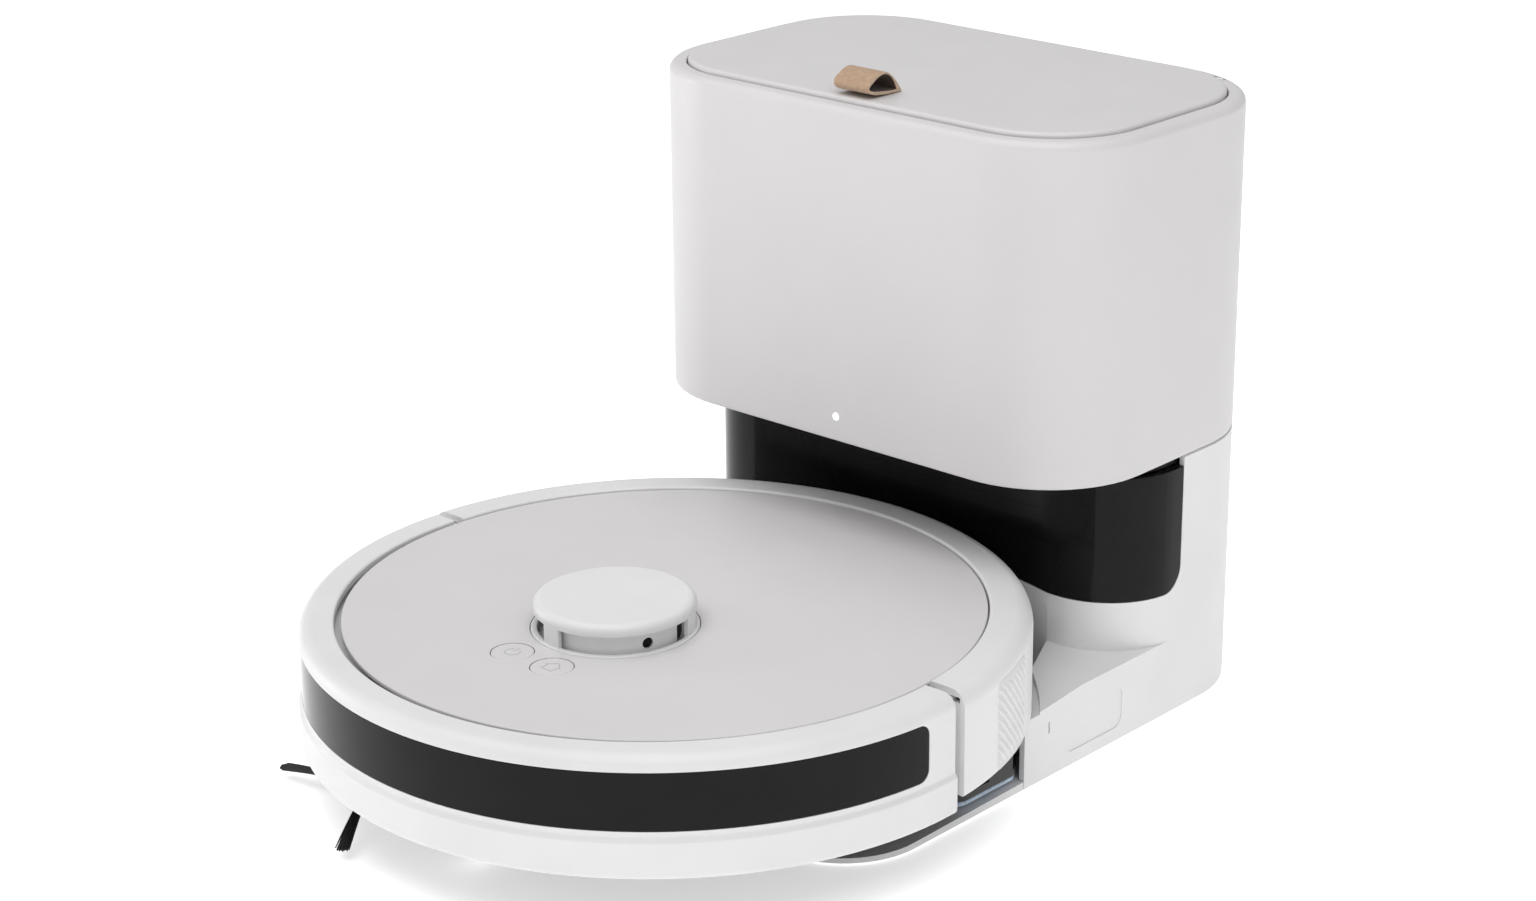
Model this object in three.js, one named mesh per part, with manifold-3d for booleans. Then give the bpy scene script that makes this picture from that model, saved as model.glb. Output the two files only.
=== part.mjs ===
// Robot vacuum standing in its self-emptying dock. Millimetres, +Z up.
// The robot is round about the Z axis of its own group and drives out of the dock along -Y.
import * as THREE from "three";
import { mergeVertices } from "three/addons/utils/BufferGeometryUtils.js";
import Module from "manifold-3d";

const wasm = await Module();
wasm.setup();

// ---- Driving dimensions ----
const GAP = 0.3; // between pieces that touch
const ROBOT_RADIUS = 175;
const DOCK_BACK = 303; // from the robot's axis
const CENTRE_SHIFT = (DOCK_BACK - ROBOT_RADIUS) / 2; // puts the origin under the middle of the whole object

const DOCK = {
  halfWidth: 144,
  housingFront: 123,
  housingBottom: 137,
  housingTop: 308,
  frontCorner: 58,
  backCorner: 62,
  wall: 3,
  columnFront: 171,
  columnCorner: 41,
  columnTop: 132,
  rearTop: 136.4, // behind the front panel the column reaches almost to the housing
  pocketRadius: 400, // the column's hollow front, behind the robot
  pocketDepth: 12,
  panelBottom: 67,
  panelEnd: 219,
  panelCorner: 13,
};
const TRAY = { front: -30, corner: 43, under: 1, topAtAxis: 4, armFront: 95, armTop: 41 };
const UNDOCK = { travel: 340, drop: 4.4 };
const RAMP = UNDOCK.drop / UNDOCK.travel; // the tray's top falls this much per millimetre towards the front
const PORT = { halfWidth: 23, bottom: 42, top: 58 }; // dirt outlet between the robot and the dock
const DUCT = { halfWidth: 26, wall: 2.5, front: 186.3, shaftFront: 256.3, back: 288, top: 226 };
const LID = { edge: 0.7, inset: 9.4, under: 305, top: 310.3, corner: 52, backCorner: 55 };
const LID_AXIS = { y: 290.8, z: 307.5, pin: 1.2, pinEnd: 109.6, relief: 3.3 };
const TAB = { width: 22, back: 160, front: 134, thick: 2, rise: 12 };

const PLATE = { radius: 153.5, under: 85.9, top: 88.4 };
const RIM = { inner: 154.3, top: 89.5 };
const SIDE = { bottom: 38, wall: 3, frontEnd: 11 };
const BUMPER = { radius: 173.5, bottom: 31.5, band: 50, inner: 170, rimInner: 155.2, rimCentre: -1.9,
  end: 6 };
const WINDOW = { bottom: 54.5, top: 82, angle: 86, depth: 1.4 };
const CHASSIS = { radius: 166, bottom: 17, floor: 20, waist: 33, top: 37.6, taper: 22 };
const DECK = { radius: 165, under: 78.5, top: 81.5 };
const TURRET = { y: -34, radius: 38.5, well: 39.8, slotTop: 98, top: 103.5, rotor: 34 };
const BUTTON = { x: 13, y: -88, radius: 10 };
const WHEEL = { x: 114, radius: 34, width: 20, hub: 24, z: 38.5 };
const ARM = { inner: 86, outer: 100, pivotY: -58 };
const ROLLER = { y: -41, z: 26, radius: 17, half: 79 };
const CASTER = { y: -128, radius: 11, z: 16.5, trail: 5, fork: 17 };
const SIDE_BRUSH = { x: -80, y: -121, reach: 58, firstAngle: 66 };
const DUST_BIN = { halfWidth: 75, front: 2, back: 145, bottom: 38.6, top: 76, wall: 2, inletBottom: 41.6 };
const MOP = { halfWidth: 142.5, front: 45, radius: 168, corner: 9, under: 6.7, top: 10.2, holderTop: 14 };

// ---- Materials ----
function material(color, roughness, metalness = 0) {
  return new THREE.MeshStandardMaterial({ color, roughness, metalness });
}
const whitePlastic = material("#e4e3e3", 0.45);
const warmPlastic = material("#d8d5d6", 0.42);
const blackGloss = material("#101011", 0.08);
const blackPlastic = material("#1b1b1c", 0.5);
const greyPlastic = material("#8f9092", 0.5);
const rubber = material("#1d1d1e", 0.85);
const leather = material("#bea58c", 0.65);
const fabric = material("#e6e2da", 0.95);
const mopCloth = material("#b4c8de", 0.95);
const filterPaper = material("#f0f0ec", 0.9);
const board = material("#1f5a36", 0.5);
const brass = material("#c9a24f", 0.3, 1);
const steel = material("#b9bbbe", 0.25, 1);
const lightLens = material("#ffffff", 0.3);

// ---- Solids ----
function solidFrom(geometry) {
  const bare = geometry.index ? geometry.toNonIndexed() : geometry.clone();
  bare.deleteAttribute("normal");
  bare.deleteAttribute("uv");
  const merged = mergeVertices(bare, 1e-4);
  const vertProperties = merged.attributes.position.array;
  const triVerts = new Uint32Array(merged.index.array);
  const solid = new wasm.Manifold(new wasm.Mesh({ numProp: 3, vertProperties, triVerts }));
  if (solid.volume() > 0) return solid;
  return new wasm.Manifold(new wasm.Mesh({ numProp: 3, vertProperties, triVerts: triVerts.reverse() }));
}

function geometryFrom(solid) {
  const mesh = solid.getMesh();
  const geometry = new THREE.BufferGeometry();
  geometry.setAttribute("position", new THREE.BufferAttribute(mesh.vertProperties, 3));
  geometry.setIndex(new THREE.BufferAttribute(mesh.triVerts, 1));
  return geometry;
}

function join(...solids) {
  return solids.reduce((whole, solid) => whole.add(solid));
}

function cut(solid, ...tools) {
  return tools.reduce((left, tool) => left.subtract(tool), solid);
}

function box([x0, x1], [y0, y1], [z0, z1]) {
  const block = new THREE.BoxGeometry(x1 - x0, y1 - y0, z1 - z0);
  return solidFrom(block.translate((x0 + x1) / 2, (y0 + y1) / 2, (z0 + z1) / 2));
}

// A cylinder along Z.
function drum(x, y, radius, z0, z1, segments = 36) {
  const cylinder = new THREE.CylinderGeometry(radius, radius, z1 - z0, segments).rotateX(Math.PI / 2);
  return solidFrom(cylinder.translate(x, y, (z0 + z1) / 2));
}

// A cylinder along X.
function axle(x0, x1, y, z, radius, segments = 24) {
  const cylinder = new THREE.CylinderGeometry(radius, radius, x1 - x0, segments).rotateZ(Math.PI / 2);
  return solidFrom(cylinder.translate((x0 + x1) / 2, y, z));
}

// A cylinder along Y.
function pin(x, y0, y1, z, radius, segments = 16) {
  const cylinder = new THREE.CylinderGeometry(radius, radius, y1 - y0, segments);
  return solidFrom(cylinder.translate(x, (y0 + y1) / 2, z));
}

// A plan outline raised from z0 to z1.
function raise(shape, z0, z1, curveSegments = 4) {
  const plate = new THREE.ExtrudeGeometry(shape, { depth: z1 - z0, bevelEnabled: false, curveSegments });
  return solidFrom(plate.translate(0, 0, z0));
}

// A side outline, drawn in Y and Z, carried along X.
function carry(shape, x0, x1, curveSegments = 5) {
  const slab = new THREE.ExtrudeGeometry(shape, { depth: x1 - x0, bevelEnabled: false, curveSegments });
  slab.applyMatrix4(new THREE.Matrix4().makeBasis(
    new THREE.Vector3(0, 1, 0), new THREE.Vector3(0, 0, 1), new THREE.Vector3(1, 0, 0)));
  return solidFrom(slab.translate(x0, 0, 0));
}

// A closed profile of [radius, z] points turned about the Z axis.
function spin(profile, segments = 60) {
  const points = [...profile, profile[0]].map(([radius, z]) => new THREE.Vector2(radius, z));
  return solidFrom(new THREE.LatheGeometry(points, segments).rotateX(Math.PI / 2));
}

function polygon(points) {
  return new THREE.Shape(points.map(([x, y]) => new THREE.Vector2(x, y)));
}

// A rectangle in plan with round corners, one radius in front and one behind.
function roundedPlan(halfWidth, front, back, frontRadius, backRadius) {
  const shape = new THREE.Shape();
  shape.moveTo(-halfWidth + frontRadius, front);
  shape.absarc(halfWidth - frontRadius, front + frontRadius, frontRadius, -Math.PI / 2, 0, false);
  shape.absarc(halfWidth - backRadius, back - backRadius, backRadius, 0, Math.PI / 2, false);
  shape.absarc(-halfWidth + backRadius, back - backRadius, backRadius, Math.PI / 2, Math.PI, false);
  shape.absarc(-halfWidth + frontRadius, front + frontRadius, frontRadius, Math.PI, 1.5 * Math.PI, false);
  return shape;
}

// The housing's outline moved in by a distance.
function housingPlan(inset) {
  return roundedPlan(DOCK.halfWidth - inset, DOCK.housingFront + inset, DOCK_BACK - inset,
    DOCK.frontCorner - inset, DOCK.backCorner - inset);
}

const object = new THREE.Group();
object.position.y = -CENTRE_SHIFT;

function add(name, solid, finish) {
  const mesh = new THREE.Mesh(geometryFrom(solid), finish);
  mesh.name = name;
  object.add(mesh);
}

// ---- Dock: tray, lower body and front panel ----
function trayTop(y, lift = 0) {
  return TRAY.topAtAxis + RAMP * y + lift;
}

// Everything above the tray's sloping top.
function aboveTray(lift) {
  const [front, back, sky] = [-60, 340, 60];
  return carry(polygon([[front, trayTop(front, lift)], [back, trayTop(back, lift)], [back, sky],
    [front, sky]]),
    -200, 200);
}

const FEET = [[-110, 15], [110, 15], [-110, 250], [110, 250]];

function baseTray() {
  const front = roundedPlan(DOCK.halfWidth, TRAY.front, TRAY.armFront - GAP, TRAY.corner, 0.5);
  const rear = roundedPlan(DOCK.halfWidth - 3.4, TRAY.armFront - 5, DOCK_BACK - 3.4, 0.5, 58);
  const blank = join(raise(front, TRAY.under, 12), raise(rear, TRAY.under, 12));
  const lip = carry(polygon([[-40, 1.8], [TRAY.front, 1.8], [TRAY.front + 14, 12], [-40, 12]]), -200, 200);
  const footWells = FEET.map(([x, y]) => drum(x, y, 9.4, 0, 2.2, 20));
  const tracks = [-1, 1].map((side) =>
    box([side * WHEEL.x - 13, side * WHEEL.x + 13], [-12, 40], [trayTop(0) - 0.4, 12]));
  return cut(blank, aboveTray(0), lip, ...footWells, ...tracks);
}

// The column's outline with its hollow front, moved in by a distance.
function columnBlock(inset, z0, z1) {
  const plan = roundedPlan(DOCK.halfWidth - inset, DOCK.columnFront + inset, DOCK_BACK - inset,
    DOCK.columnCorner - inset, DOCK.backCorner - inset);
  const pocketCentre = DOCK.columnFront + DOCK.pocketDepth - DOCK.pocketRadius;
  return cut(raise(plan, z0, z1), drum(0, pocketCentre, DOCK.pocketRadius + inset, z0 - 1, z1 + 1, 150));
}

// The front panel's side view: it ends behind in a round lower corner.
function panelSide(margin) {
  const bottom = DOCK.panelBottom - margin;
  const end = DOCK.panelEnd + margin;
  const corner = DOCK.panelCorner + margin;
  const shape = new THREE.Shape();
  shape.moveTo(150, bottom);
  shape.lineTo(end - corner, bottom);
  shape.absarc(end - corner, bottom + corner, corner, -Math.PI / 2, 0, false);
  shape.lineTo(end, DOCK.columnTop + margin);
  shape.lineTo(150, DOCK.columnTop + margin);
  return carry(shape, -150, 150);
}

// The two arms that reach forward on both sides of the robot.
function armBlock() {
  const side = polygon([[TRAY.armFront, TRAY.under], [TRAY.armFront, 34], [TRAY.armFront + 4, 37],
    [140, TRAY.armTop], [230, TRAY.armTop], [230, TRAY.under]]);
  const arms = carry(side, -DOCK.halfWidth, DOCK.halfWidth);
  const mouth = polygon([[-98, 184], [-98, 171], [-115, 136], [-115, 80], [115, 80], [115, 136],
    [98, 171], [98, 184]]);
  return cut(arms, raise(mouth, 0, 60), drum(0, 0, 170, 0, 60, 96), drum(0, 0, 179, 36.5, 60, 96));
}

function lowerBody() {
  const rear = columnBlock(0, 100, DOCK.rearTop).intersect(box([-200, 200], [DOCK.panelEnd + GAP, 400],
    [0, 200]));
  const shell = join(columnBlock(0, TRAY.under, DOCK.columnTop), rear, armBlock());
  const rearPlan = roundedPlan(DOCK.halfWidth - 3.1, TRAY.armFront - 8, DOCK_BACK - 3.1, 0.5, 58.3);
  const trayRoom = cut(raise(rearPlan, 0, 12), aboveTray(GAP));
  const hollow = columnBlock(DOCK.wall, 11, DOCK.rearTop + 1);
  const portHole = box([-PORT.halfWidth, PORT.halfWidth], [175, 195], [PORT.bottom, PORT.top]);
  const pinHoles = CONTACT_SIDES.map((side) => pin(side * CONTACT.x, 170, 195, CONTACT.z,
    CONTACT.radius + 0.4));
  const grilleHole = box([40, 110], [295, 310], [60, 100]);
  const socketHole = box([-103, -77], [295, 310], [22, 42]);
  return cut(shell, trayRoom, hollow, panelSide(GAP), portHole, ...pinHoles, grilleHole, socketHole);
}

function frontPanel() {
  const skin = cut(columnBlock(0, 60, DOCK.columnTop), columnBlock(DOCK.wall, 59, DOCK.columnTop + 1));
  return panelSide(0).intersect(skin);
}

const CONTACT = { x: 36, z: 50, radius: 3 };
const CONTACT_SIDES = [-1, 1];

function contactPin(side) {
  const x = side * CONTACT.x;
  const stem = pin(x, 171.8, 192, CONTACT.z, CONTACT.radius);
  return join(stem, pin(x, 188, 191, CONTACT.z, CONTACT.radius + 2));
}

function portSeal() {
  const [half, low, high] = [PORT.halfWidth, PORT.bottom, PORT.top];
  const frame = box([-half - 5, half + 5], [176.2, 181.6], [low - 4, high + 4]);
  return cut(frame, box([-half, half], [170, 190], [low, high]));
}

add("base_tray", baseTray(), whitePlastic);
add("lower_body", lowerBody(), whitePlastic);
add("front_panel", frontPanel(), blackGloss);
add("port_seal", portSeal(), rubber);
for (const side of CONTACT_SIDES) add(side < 0 ? "contact_left" : "contact_right", contactPin(side), brass);
FEET.forEach(([x, y], i) => add("foot_" + (i + 1), drum(x, y, 9, 0, 1.9, 20), rubber));

// ---- Dock: upper housing, lid and pull tab ----
const MOTOR = { x: 75, y: 243, radius: 36, bottom: 15, top: 92 };

function ductRoom(z0, z1) {
  const half = DUCT.halfWidth + GAP;
  return box([-half, half], [DUCT.shaftFront - GAP, DUCT.back + GAP], [z0, z1]);
}

function neck() {
  const ring = columnBlock(5, DOCK.columnTop + GAP, DOCK.housingBottom - GAP);
  return cut(ring, ductRoom(120, 150), drum(MOTOR.x, MOTOR.y, 24, 120, 150));
}

function upperHousing() {
  const { housingBottom: bottom, housingTop: top, wall } = DOCK;
  const block = raise(housingPlan(0), bottom, top);
  const cavity = raise(housingPlan(wall), bottom + wall, 297.5);
  const ledge = raise(housingPlan(14), 297, 301);
  const mouth = raise(housingPlan(LID.inset - LID.edge), 300.6, top + 1);
  const pinHole = axle(-LID_AXIS.pinEnd - GAP, LID_AXIS.pinEnd + GAP, LID_AXIS.y, LID_AXIS.z,
    LID_AXIS.pin + GAP, 12);
  const relief = axle(-103, 103, LID_AXIS.y, LID_AXIS.z, LID_AXIS.relief, 16);
  const lightHole = pin(0, 120, 130, 150, 1.9);
  return cut(block, cavity, ledge, mouth, pinHole, relief, lightHole, ductRoom(130, 150),
    drum(MOTOR.x, MOTOR.y, 22, 130, 150));
}

function lidPlate() {
  const plate = raise(housingPlan(LID.inset), LID.under, LID.top - 1.6);
  const crown = raise(housingPlan(LID.inset + 1.4), LID.top - 1.7, LID.top);
  const bores = [-1, 1].map((side) =>
    axle(side * 97.5 - 10.5, side * 97.5 + 10.5, LID_AXIS.y, LID_AXIS.z, LID_AXIS.pin + GAP, 12));
  return cut(join(plate, crown), ...bores);
}

function lidSeal() {
  const outer = raise(housingPlan(LID.inset + 0.2), 301.5, LID.under - GAP);
  return cut(outer, raise(housingPlan(LID.inset + 3.6), 301, 306));
}

// A leather strap folded into a drop-shaped loop, both ends meeting at the back.
function loopSide(offset) {
  const low = LID.top + GAP;
  const shape = new THREE.Shape();
  shape.moveTo(TAB.back - 2.4 * offset, low + offset * 0.9);
  shape.bezierCurveTo(TAB.back - 8, low + TAB.rise - offset * 0.4, TAB.front + 12,
    low + TAB.rise + 2.6 - offset,
    TAB.front + 4 + offset * 0.3, low + TAB.rise - 2.5 - offset);
  shape.bezierCurveTo(TAB.front + offset - 2.2, low + TAB.rise - 5 - offset, TAB.front + offset - 1,
    low + 2 + offset,
    TAB.front + 8, low + 1 + offset);
  shape.bezierCurveTo(TAB.front + 13, low + 0.5 + offset, TAB.back - 12, low + offset,
    TAB.back - 2.4 * offset,
    low + offset * 0.9);
  return shape;
}

function pullTab() {
  const half = TAB.width / 2;
  return cut(carry(loopSide(0), -half, half, 7), carry(loopSide(TAB.thick), -half - 1, half + 1, 7));
}

add("neck", neck(), blackPlastic);
add("upper_housing", upperHousing(), warmPlastic);
add("status_light", pin(0, 122.7, 128, 150, 1.6), lightLens);
for (const side of [-1, 1]) {
  const [near, far] = [88, LID_AXIS.pinEnd].map((x) => side * x).sort((a, b) => a - b);
  add(side < 0 ? "hinge_pin_left" : "hinge_pin_right",
    axle(near, far, LID_AXIS.y, LID_AXIS.z, LID_AXIS.pin, 12),
    steel);
}
add("lid", lidPlate(), warmPlastic);
add("lid_seal", lidSeal(), rubber);
add("lid_liner", raise(housingPlan(20), 300, LID.under - GAP), greyPlastic);
add("pull_tab", pullTab(), leather);

// ---- Dock: dust bag, duct, motor and electrics ----
const CHAMBER = { half: 116, front: 138, back: 256, bottom: 141, top: 292, wall: 2 };
const BAG_HOLE = { z: 205, radius: 17 };

function bagChamber() {
  const { half, front, back, bottom, top, wall } = CHAMBER;
  const tub = box([-half, half], [front, back], [bottom, top]);
  const room = box([-half + wall, half - wall], [front + wall, back - wall], [bottom + wall, top + 1]);
  return cut(tub, room, pin(0, 250, 260, BAG_HOLE.z, BAG_HOLE.radius + 1, 24),
    drum(MOTOR.x, MOTOR.y - 18, 20, 135, 150));
}

// Two upright channels that the bag's flange slides down into.
function bagBracket() {
  const plate = box([-62, 62], [245, CHAMBER.back - CHAMBER.wall - GAP], [150, 262]);
  const slot = box([-56.4, 56.4], [247.7, 251.3], [152, 263]);
  return cut(plate, slot, box([-50, 50], [240, 249], [156, 263]),
    pin(0, 240, 260, BAG_HOLE.z, BAG_HOLE.radius, 24));
}

function bagFlange() {
  const plate = box([-56, 56], [248, 251], [152.4, 258]);
  return cut(plate, pin(0, 240, 260, BAG_HOLE.z, BAG_HOLE.radius, 24));
}

function dustBag() {
  const side = new THREE.Shape();
  side.moveTo(160, 148);
  side.lineTo(232, 148);
  side.bezierCurveTo(247, 150, 246, 248, 232, 254);
  side.lineTo(165, 258);
  side.bezierCurveTo(142, 250, 142, 152, 160, 148);
  return cut(carry(side, -92, 92, 4), box([-70, 70], [244.6, 250], [140, 270]));
}

function suctionDuct() {
  const { halfWidth: half, wall, front, shaftFront, back, top } = DUCT;
  const low = PORT.bottom - wall;
  const outer = join(box([-half, half], [front, back], [low, PORT.top + wall]),
    box([-half, half], [shaftFront, back], [low, top]));
  const inner = half - wall;
  return cut(outer, box([-inner, inner], [front - 1, back - wall], [PORT.bottom, PORT.top]),
    box([-inner, inner], [shaftFront + wall, back - wall], [PORT.bottom, top - wall]),
    pin(0, 250, shaftFront + 4, BAG_HOLE.z, BAG_HOLE.radius, 24));
}

function suctionMotor() {
  const { x, y, radius, bottom, top } = MOTOR;
  return join(drum(x, y, radius - 6, bottom + 4, top - 18), drum(x, y, radius, top - 34, top - 6),
    drum(x, y, 14, top - 8, top));
}

function motorMount() {
  const { x, y, radius, bottom } = MOTOR;
  return cut(drum(x, y, radius - 2, bottom - 3.4, bottom + 12),
    drum(x, y, radius - 6 + GAP, bottom + 4 - GAP, 60));
}

function exhaustGrille() {
  const frame = box([40.3, 109.7], [300.2, 302.8], [60.3, 99.7]);
  const slots = Array.from({ length: 6 }, (_, i) => {
    const z = 64 + i * 5.8;
    return box([45, 105], [299, 304], [z, z + 3]);
  });
  return cut(frame, ...slots);
}

function powerInlet() {
  const shell = box([-102.7, -77.3], [288, 302.8], [22.3, 41.7]);
  const mouth = box([-98, -82], [294, 304], [27, 37]);
  return cut(shell, mouth);
}

add("bag_chamber", bagChamber(), greyPlastic);
add("bag_bracket", bagBracket(), blackPlastic);
add("bag_flange", bagFlange(), greyPlastic);
add("dust_bag", dustBag(), fabric);
add("suction_duct", suctionDuct(), greyPlastic);
add("suction_motor", suctionMotor(), blackPlastic);
add("motor_mount", motorMount(), rubber);
add("motor_filter", box([42, 108], [210, 276], [96, 112]), filterPaper);
add("exhaust_grille", exhaustGrille(), blackPlastic);
add("dock_board", box([-130, -50], [225, 226.8], [20, 100]), board);
add("power_inlet", powerInlet(), blackPlastic);

// ---- Robot: chassis, shell, plate and bumper ----
function chassis() {
  const { radius, bottom, floor, waist, top, taper } = CHASSIS;
  const tub = spin([[0, bottom], [radius - taper, bottom], [radius, waist], [radius, top],
    [radius - 3, top],
    [radius - 3, waist + 1], [radius - taper - 2, floor], [0, floor]]);
  const dome = drum(0, CASTER.y, CASTER.fork + 5, bottom, 37);
  const domeRoom = drum(0, CASTER.y, CASTER.fork + 2.5, bottom - 1, 34);
  const rollerRoom = box([-83, 83], [-61, -21], [bottom - 1, floor + 1]);
  const wheelRooms = [-1, 1].map((side) => {
    const [near, far] = [84, 130].map((x) => side * x).sort((a, b) => a - b);
    return box([near, far], [-72, 42], [bottom - 1, waist - 2]);
  });
  return cut(join(tub, dome), domeRoom, drum(0, CASTER.y, 4.4, 30, 40, 16), rollerRoom, ...wheelRooms,
    drum(SIDE_BRUSH.x, SIDE_BRUSH.y, 3.4, bottom - 1, floor + 12, 16));
}

function upperShell() {
  const outer = ROBOT_RADIUS;
  const inner = outer - SIDE.wall;
  const ring = spin([[RIM.inner, DECK.under], [RIM.inner, 88], [RIM.inner + 1.5, RIM.top],
    [outer - 6, RIM.top],
    [outer - 2, 87.8], [outer, 84], [outer, SIDE.bottom], [inner, SIDE.bottom], [inner, 84],
      [inner - 2, 86],
    [RIM.inner + 3, 86], [RIM.inner + 3, DECK.under]]);
  const rear = ring.intersect(box([-200, 200], [SIDE.frontEnd, 200], [0, 100]));
  const deck = drum(0, 0, DECK.radius, DECK.under, DECK.top, 72);
  const ledge = cut(drum(0, 0, PLATE.radius, DECK.top - 0.5, PLATE.under - GAP, 72),
    drum(0, 0, PLATE.radius - 5, 70, 100, 72));
  // A strip behind each bumper end closes the view into the robot.
  const strip = (radius, start) => spin([[166, SIDE.bottom], [radius, SIDE.bottom], [radius, 83],
    [166, 83]])
    .intersect(box([-200, 200], [start, SIDE.frontEnd + 3], [0, 100]));
  const shelf = spin([[157.8, 81], [167.5, 81], [167.5, 85.2], [157.8, 85.2]])
    .intersect(box([-200, 200], [-2, SIDE.frontEnd + 3], [0, 100]));
  const strips = join(strip(169.4, -2), strip(inner + 1, SIDE.frontEnd), shelf);
  const outlet = box([-24, 24], [160, 180], [PORT.bottom - 1, PORT.top + 1]);
  const padHoles = CONTACT_SIDES.map((side) => box([side * CONTACT.x - 6, side * CONTACT.x + 6],
    [160, 180], [43, 57]));
  return cut(join(rear, deck, ledge, strips), drum(0, TURRET.y, 41.2, 70, 90), outlet, ...padHoles);
}

function topPlate() {
  const buttons = [-1, 1].map((side) => drum(side * BUTTON.x, BUTTON.y, BUTTON.radius + 0.4, 80, 90, 32));
  return cut(drum(0, 0, PLATE.radius, PLATE.under, PLATE.top, 72),
    drum(0, TURRET.y, TURRET.well + 0.4, 80, 90, 48),
    ...buttons);
}

// The round-ended band that the sensor window fills, between two radii.
function windowBand(inner, outer, margin) {
  const { bottom, top, angle } = WINDOW;
  const ring = spin([[inner, bottom - margin], [outer, bottom - margin], [outer, top + margin],
    [inner, top + margin]]);
  const limit = THREE.MathUtils.degToRad(angle) + margin / inner;
  const reach = 220;
  const wedge = raise(polygon([[0, 0], [-reach * Math.sin(limit), -reach * Math.cos(limit)],
    [-reach, -reach],
    [reach, -reach], [reach * Math.sin(limit), -reach * Math.cos(limit)]]), 0, 120);
  return ring.intersect(wedge);
}

function bumper() {
  const { radius, bottom, band, inner, rimInner, rimCentre, end } = BUMPER;
  const outer = ROBOT_RADIUS;
  const ring = spin([[rimInner - 2, 85.5], [rimInner - 2, RIM.top], [outer - 7, RIM.top],
    [outer - 3.2, 87.8], [radius, 84], [radius, band + 1.5], [outer, band - 1], [outer, bottom + 3],
    [outer - 2, bottom], [inner, bottom], [inner, 83.5], [inner - 2, 85.5]]);
  const front = ring.intersect(box([-200, 200], [-200, end], [0, 100]));
  // The rim is widest open in front, where the bumper moves in towards the plate.
  const rimHole = drum(0, rimCentre, rimInner, 80, 95, 96);
  return cut(front, rimHole, windowBand(radius - WINDOW.depth - GAP, 190, GAP));
}

add("chassis", chassis(), blackPlastic);
add("upper_shell", upperShell(), whitePlastic);
add("top_plate", topPlate(), warmPlastic);
add("bumper", bumper(), whitePlastic);
add("bumper_window", windowBand(BUMPER.radius - WINDOW.depth, BUMPER.radius - 0.1, 0), blackGloss);

// ---- Robot: laser turret and buttons ----
function turretCover() {
  const { y, radius, well, slotTop, top } = TURRET;
  const bowl = cut(drum(0, y, well, DECK.top + GAP, PLATE.top + 0.3, 48),
    drum(0, y, well - 3.4, 84, 90, 48));
  const cap = join(drum(0, y, radius, slotTop, top - 2, 48), drum(0, y, radius - 2, top - 2.1, top, 48));
  const ring = cut(drum(0, y, radius - 0.2, 84, slotTop + 1, 48), drum(0, y, radius - 2.2, 80, 110, 48));
  const [halfCos, halfSin] = [Math.cos(0.14), Math.sin(0.14)];
  const posts = [0, 1, 2].map((turn) => {
    const wedge = new THREE.Shape([new THREE.Vector2(0, 0), new THREE.Vector2(60 * halfCos, -60 * halfSin),
      new THREE.Vector2(60 * halfCos, 60 * halfSin)]);
    const prism = new THREE.ExtrudeGeometry(wedge, { depth: 30, bevelEnabled: false });
    prism.rotateZ(THREE.MathUtils.degToRad(-96 + turn * 120)).translate(0, y, 80);
    return ring.intersect(solidFrom(prism));
  });
  return cut(join(bowl, cap, ...posts), drum(0, y, 4.4, 78, 86, 16));
}

function lidarRotor() {
  const { y, rotor, slotTop } = TURRET;
  const body = cut(drum(0, y, rotor, 84 + GAP, slotTop - 0.6, 40),
    drum(0, y, rotor - 3, 88, slotTop - 3, 40));
  const lens = box([-14, -6], [y - rotor - 2, y - rotor + 6], [89, 95]);
  const slit = box([4, 16], [y - rotor - 2, y - rotor + 6], [89, 95]);
  return cut(join(body, drum(0, y, 4, 80, 95, 16)), lens, slit);
}

function button(side) {
  const cap = drum(side * BUTTON.x, BUTTON.y, BUTTON.radius, DECK.top + 1.2, PLATE.top + 0.1, 32);
  return cut(cap, drum(side * BUTTON.x, BUTTON.y, 2.4, PLATE.top - 0.3, 90, 16));
}

add("turret_cover", turretCover(), whitePlastic);
add("lidar_rotor", lidarRotor(), whitePlastic);
add("power_button", button(-1), warmPlastic);
add("home_button", button(1), warmPlastic);

// ---- Robot: wheels, brushes and mop ----
function wheelArm(side) {
  const x0 = side > 0 ? ARM.inner : -ARM.outer;
  const x1 = side > 0 ? ARM.outer : -ARM.inner;
  const beam = box([x0, x1], [ARM.pivotY, 4], [WHEEL.z - 10, WHEEL.z + 10]);
  return join(beam, axle(x0, x1, ARM.pivotY, WHEEL.z, 10), axle(x0, x1, 2, WHEEL.z, 17, 28));
}

function wheelHub(side) {
  const x0 = side * WHEEL.x - WHEEL.width / 2 - (side > 0 ? 3.6 : 0);
  const x1 = side * WHEEL.x + WHEEL.width / 2 + (side < 0 ? 3.6 : 0);
  return axle(x0, x1, 0, WHEEL.z, WHEEL.hub - GAP, 32);
}

function tyre(side) {
  const half = WHEEL.width / 2;
  const x = side * WHEEL.x;
  const blank = cut(axle(x - half, x + half, 0, WHEEL.z, WHEEL.radius, 36),
    axle(x - half - 1, x + half + 1, 0, WHEEL.z, WHEEL.hub, 32));
  const groove = cut(axle(x - 1, x + 1, 0, WHEEL.z, WHEEL.radius + 1, 36),
    axle(x - 2, x + 2, 0, WHEEL.z, WHEEL.radius - 1.5, 36));
  return cut(blank, groove);
}

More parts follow.
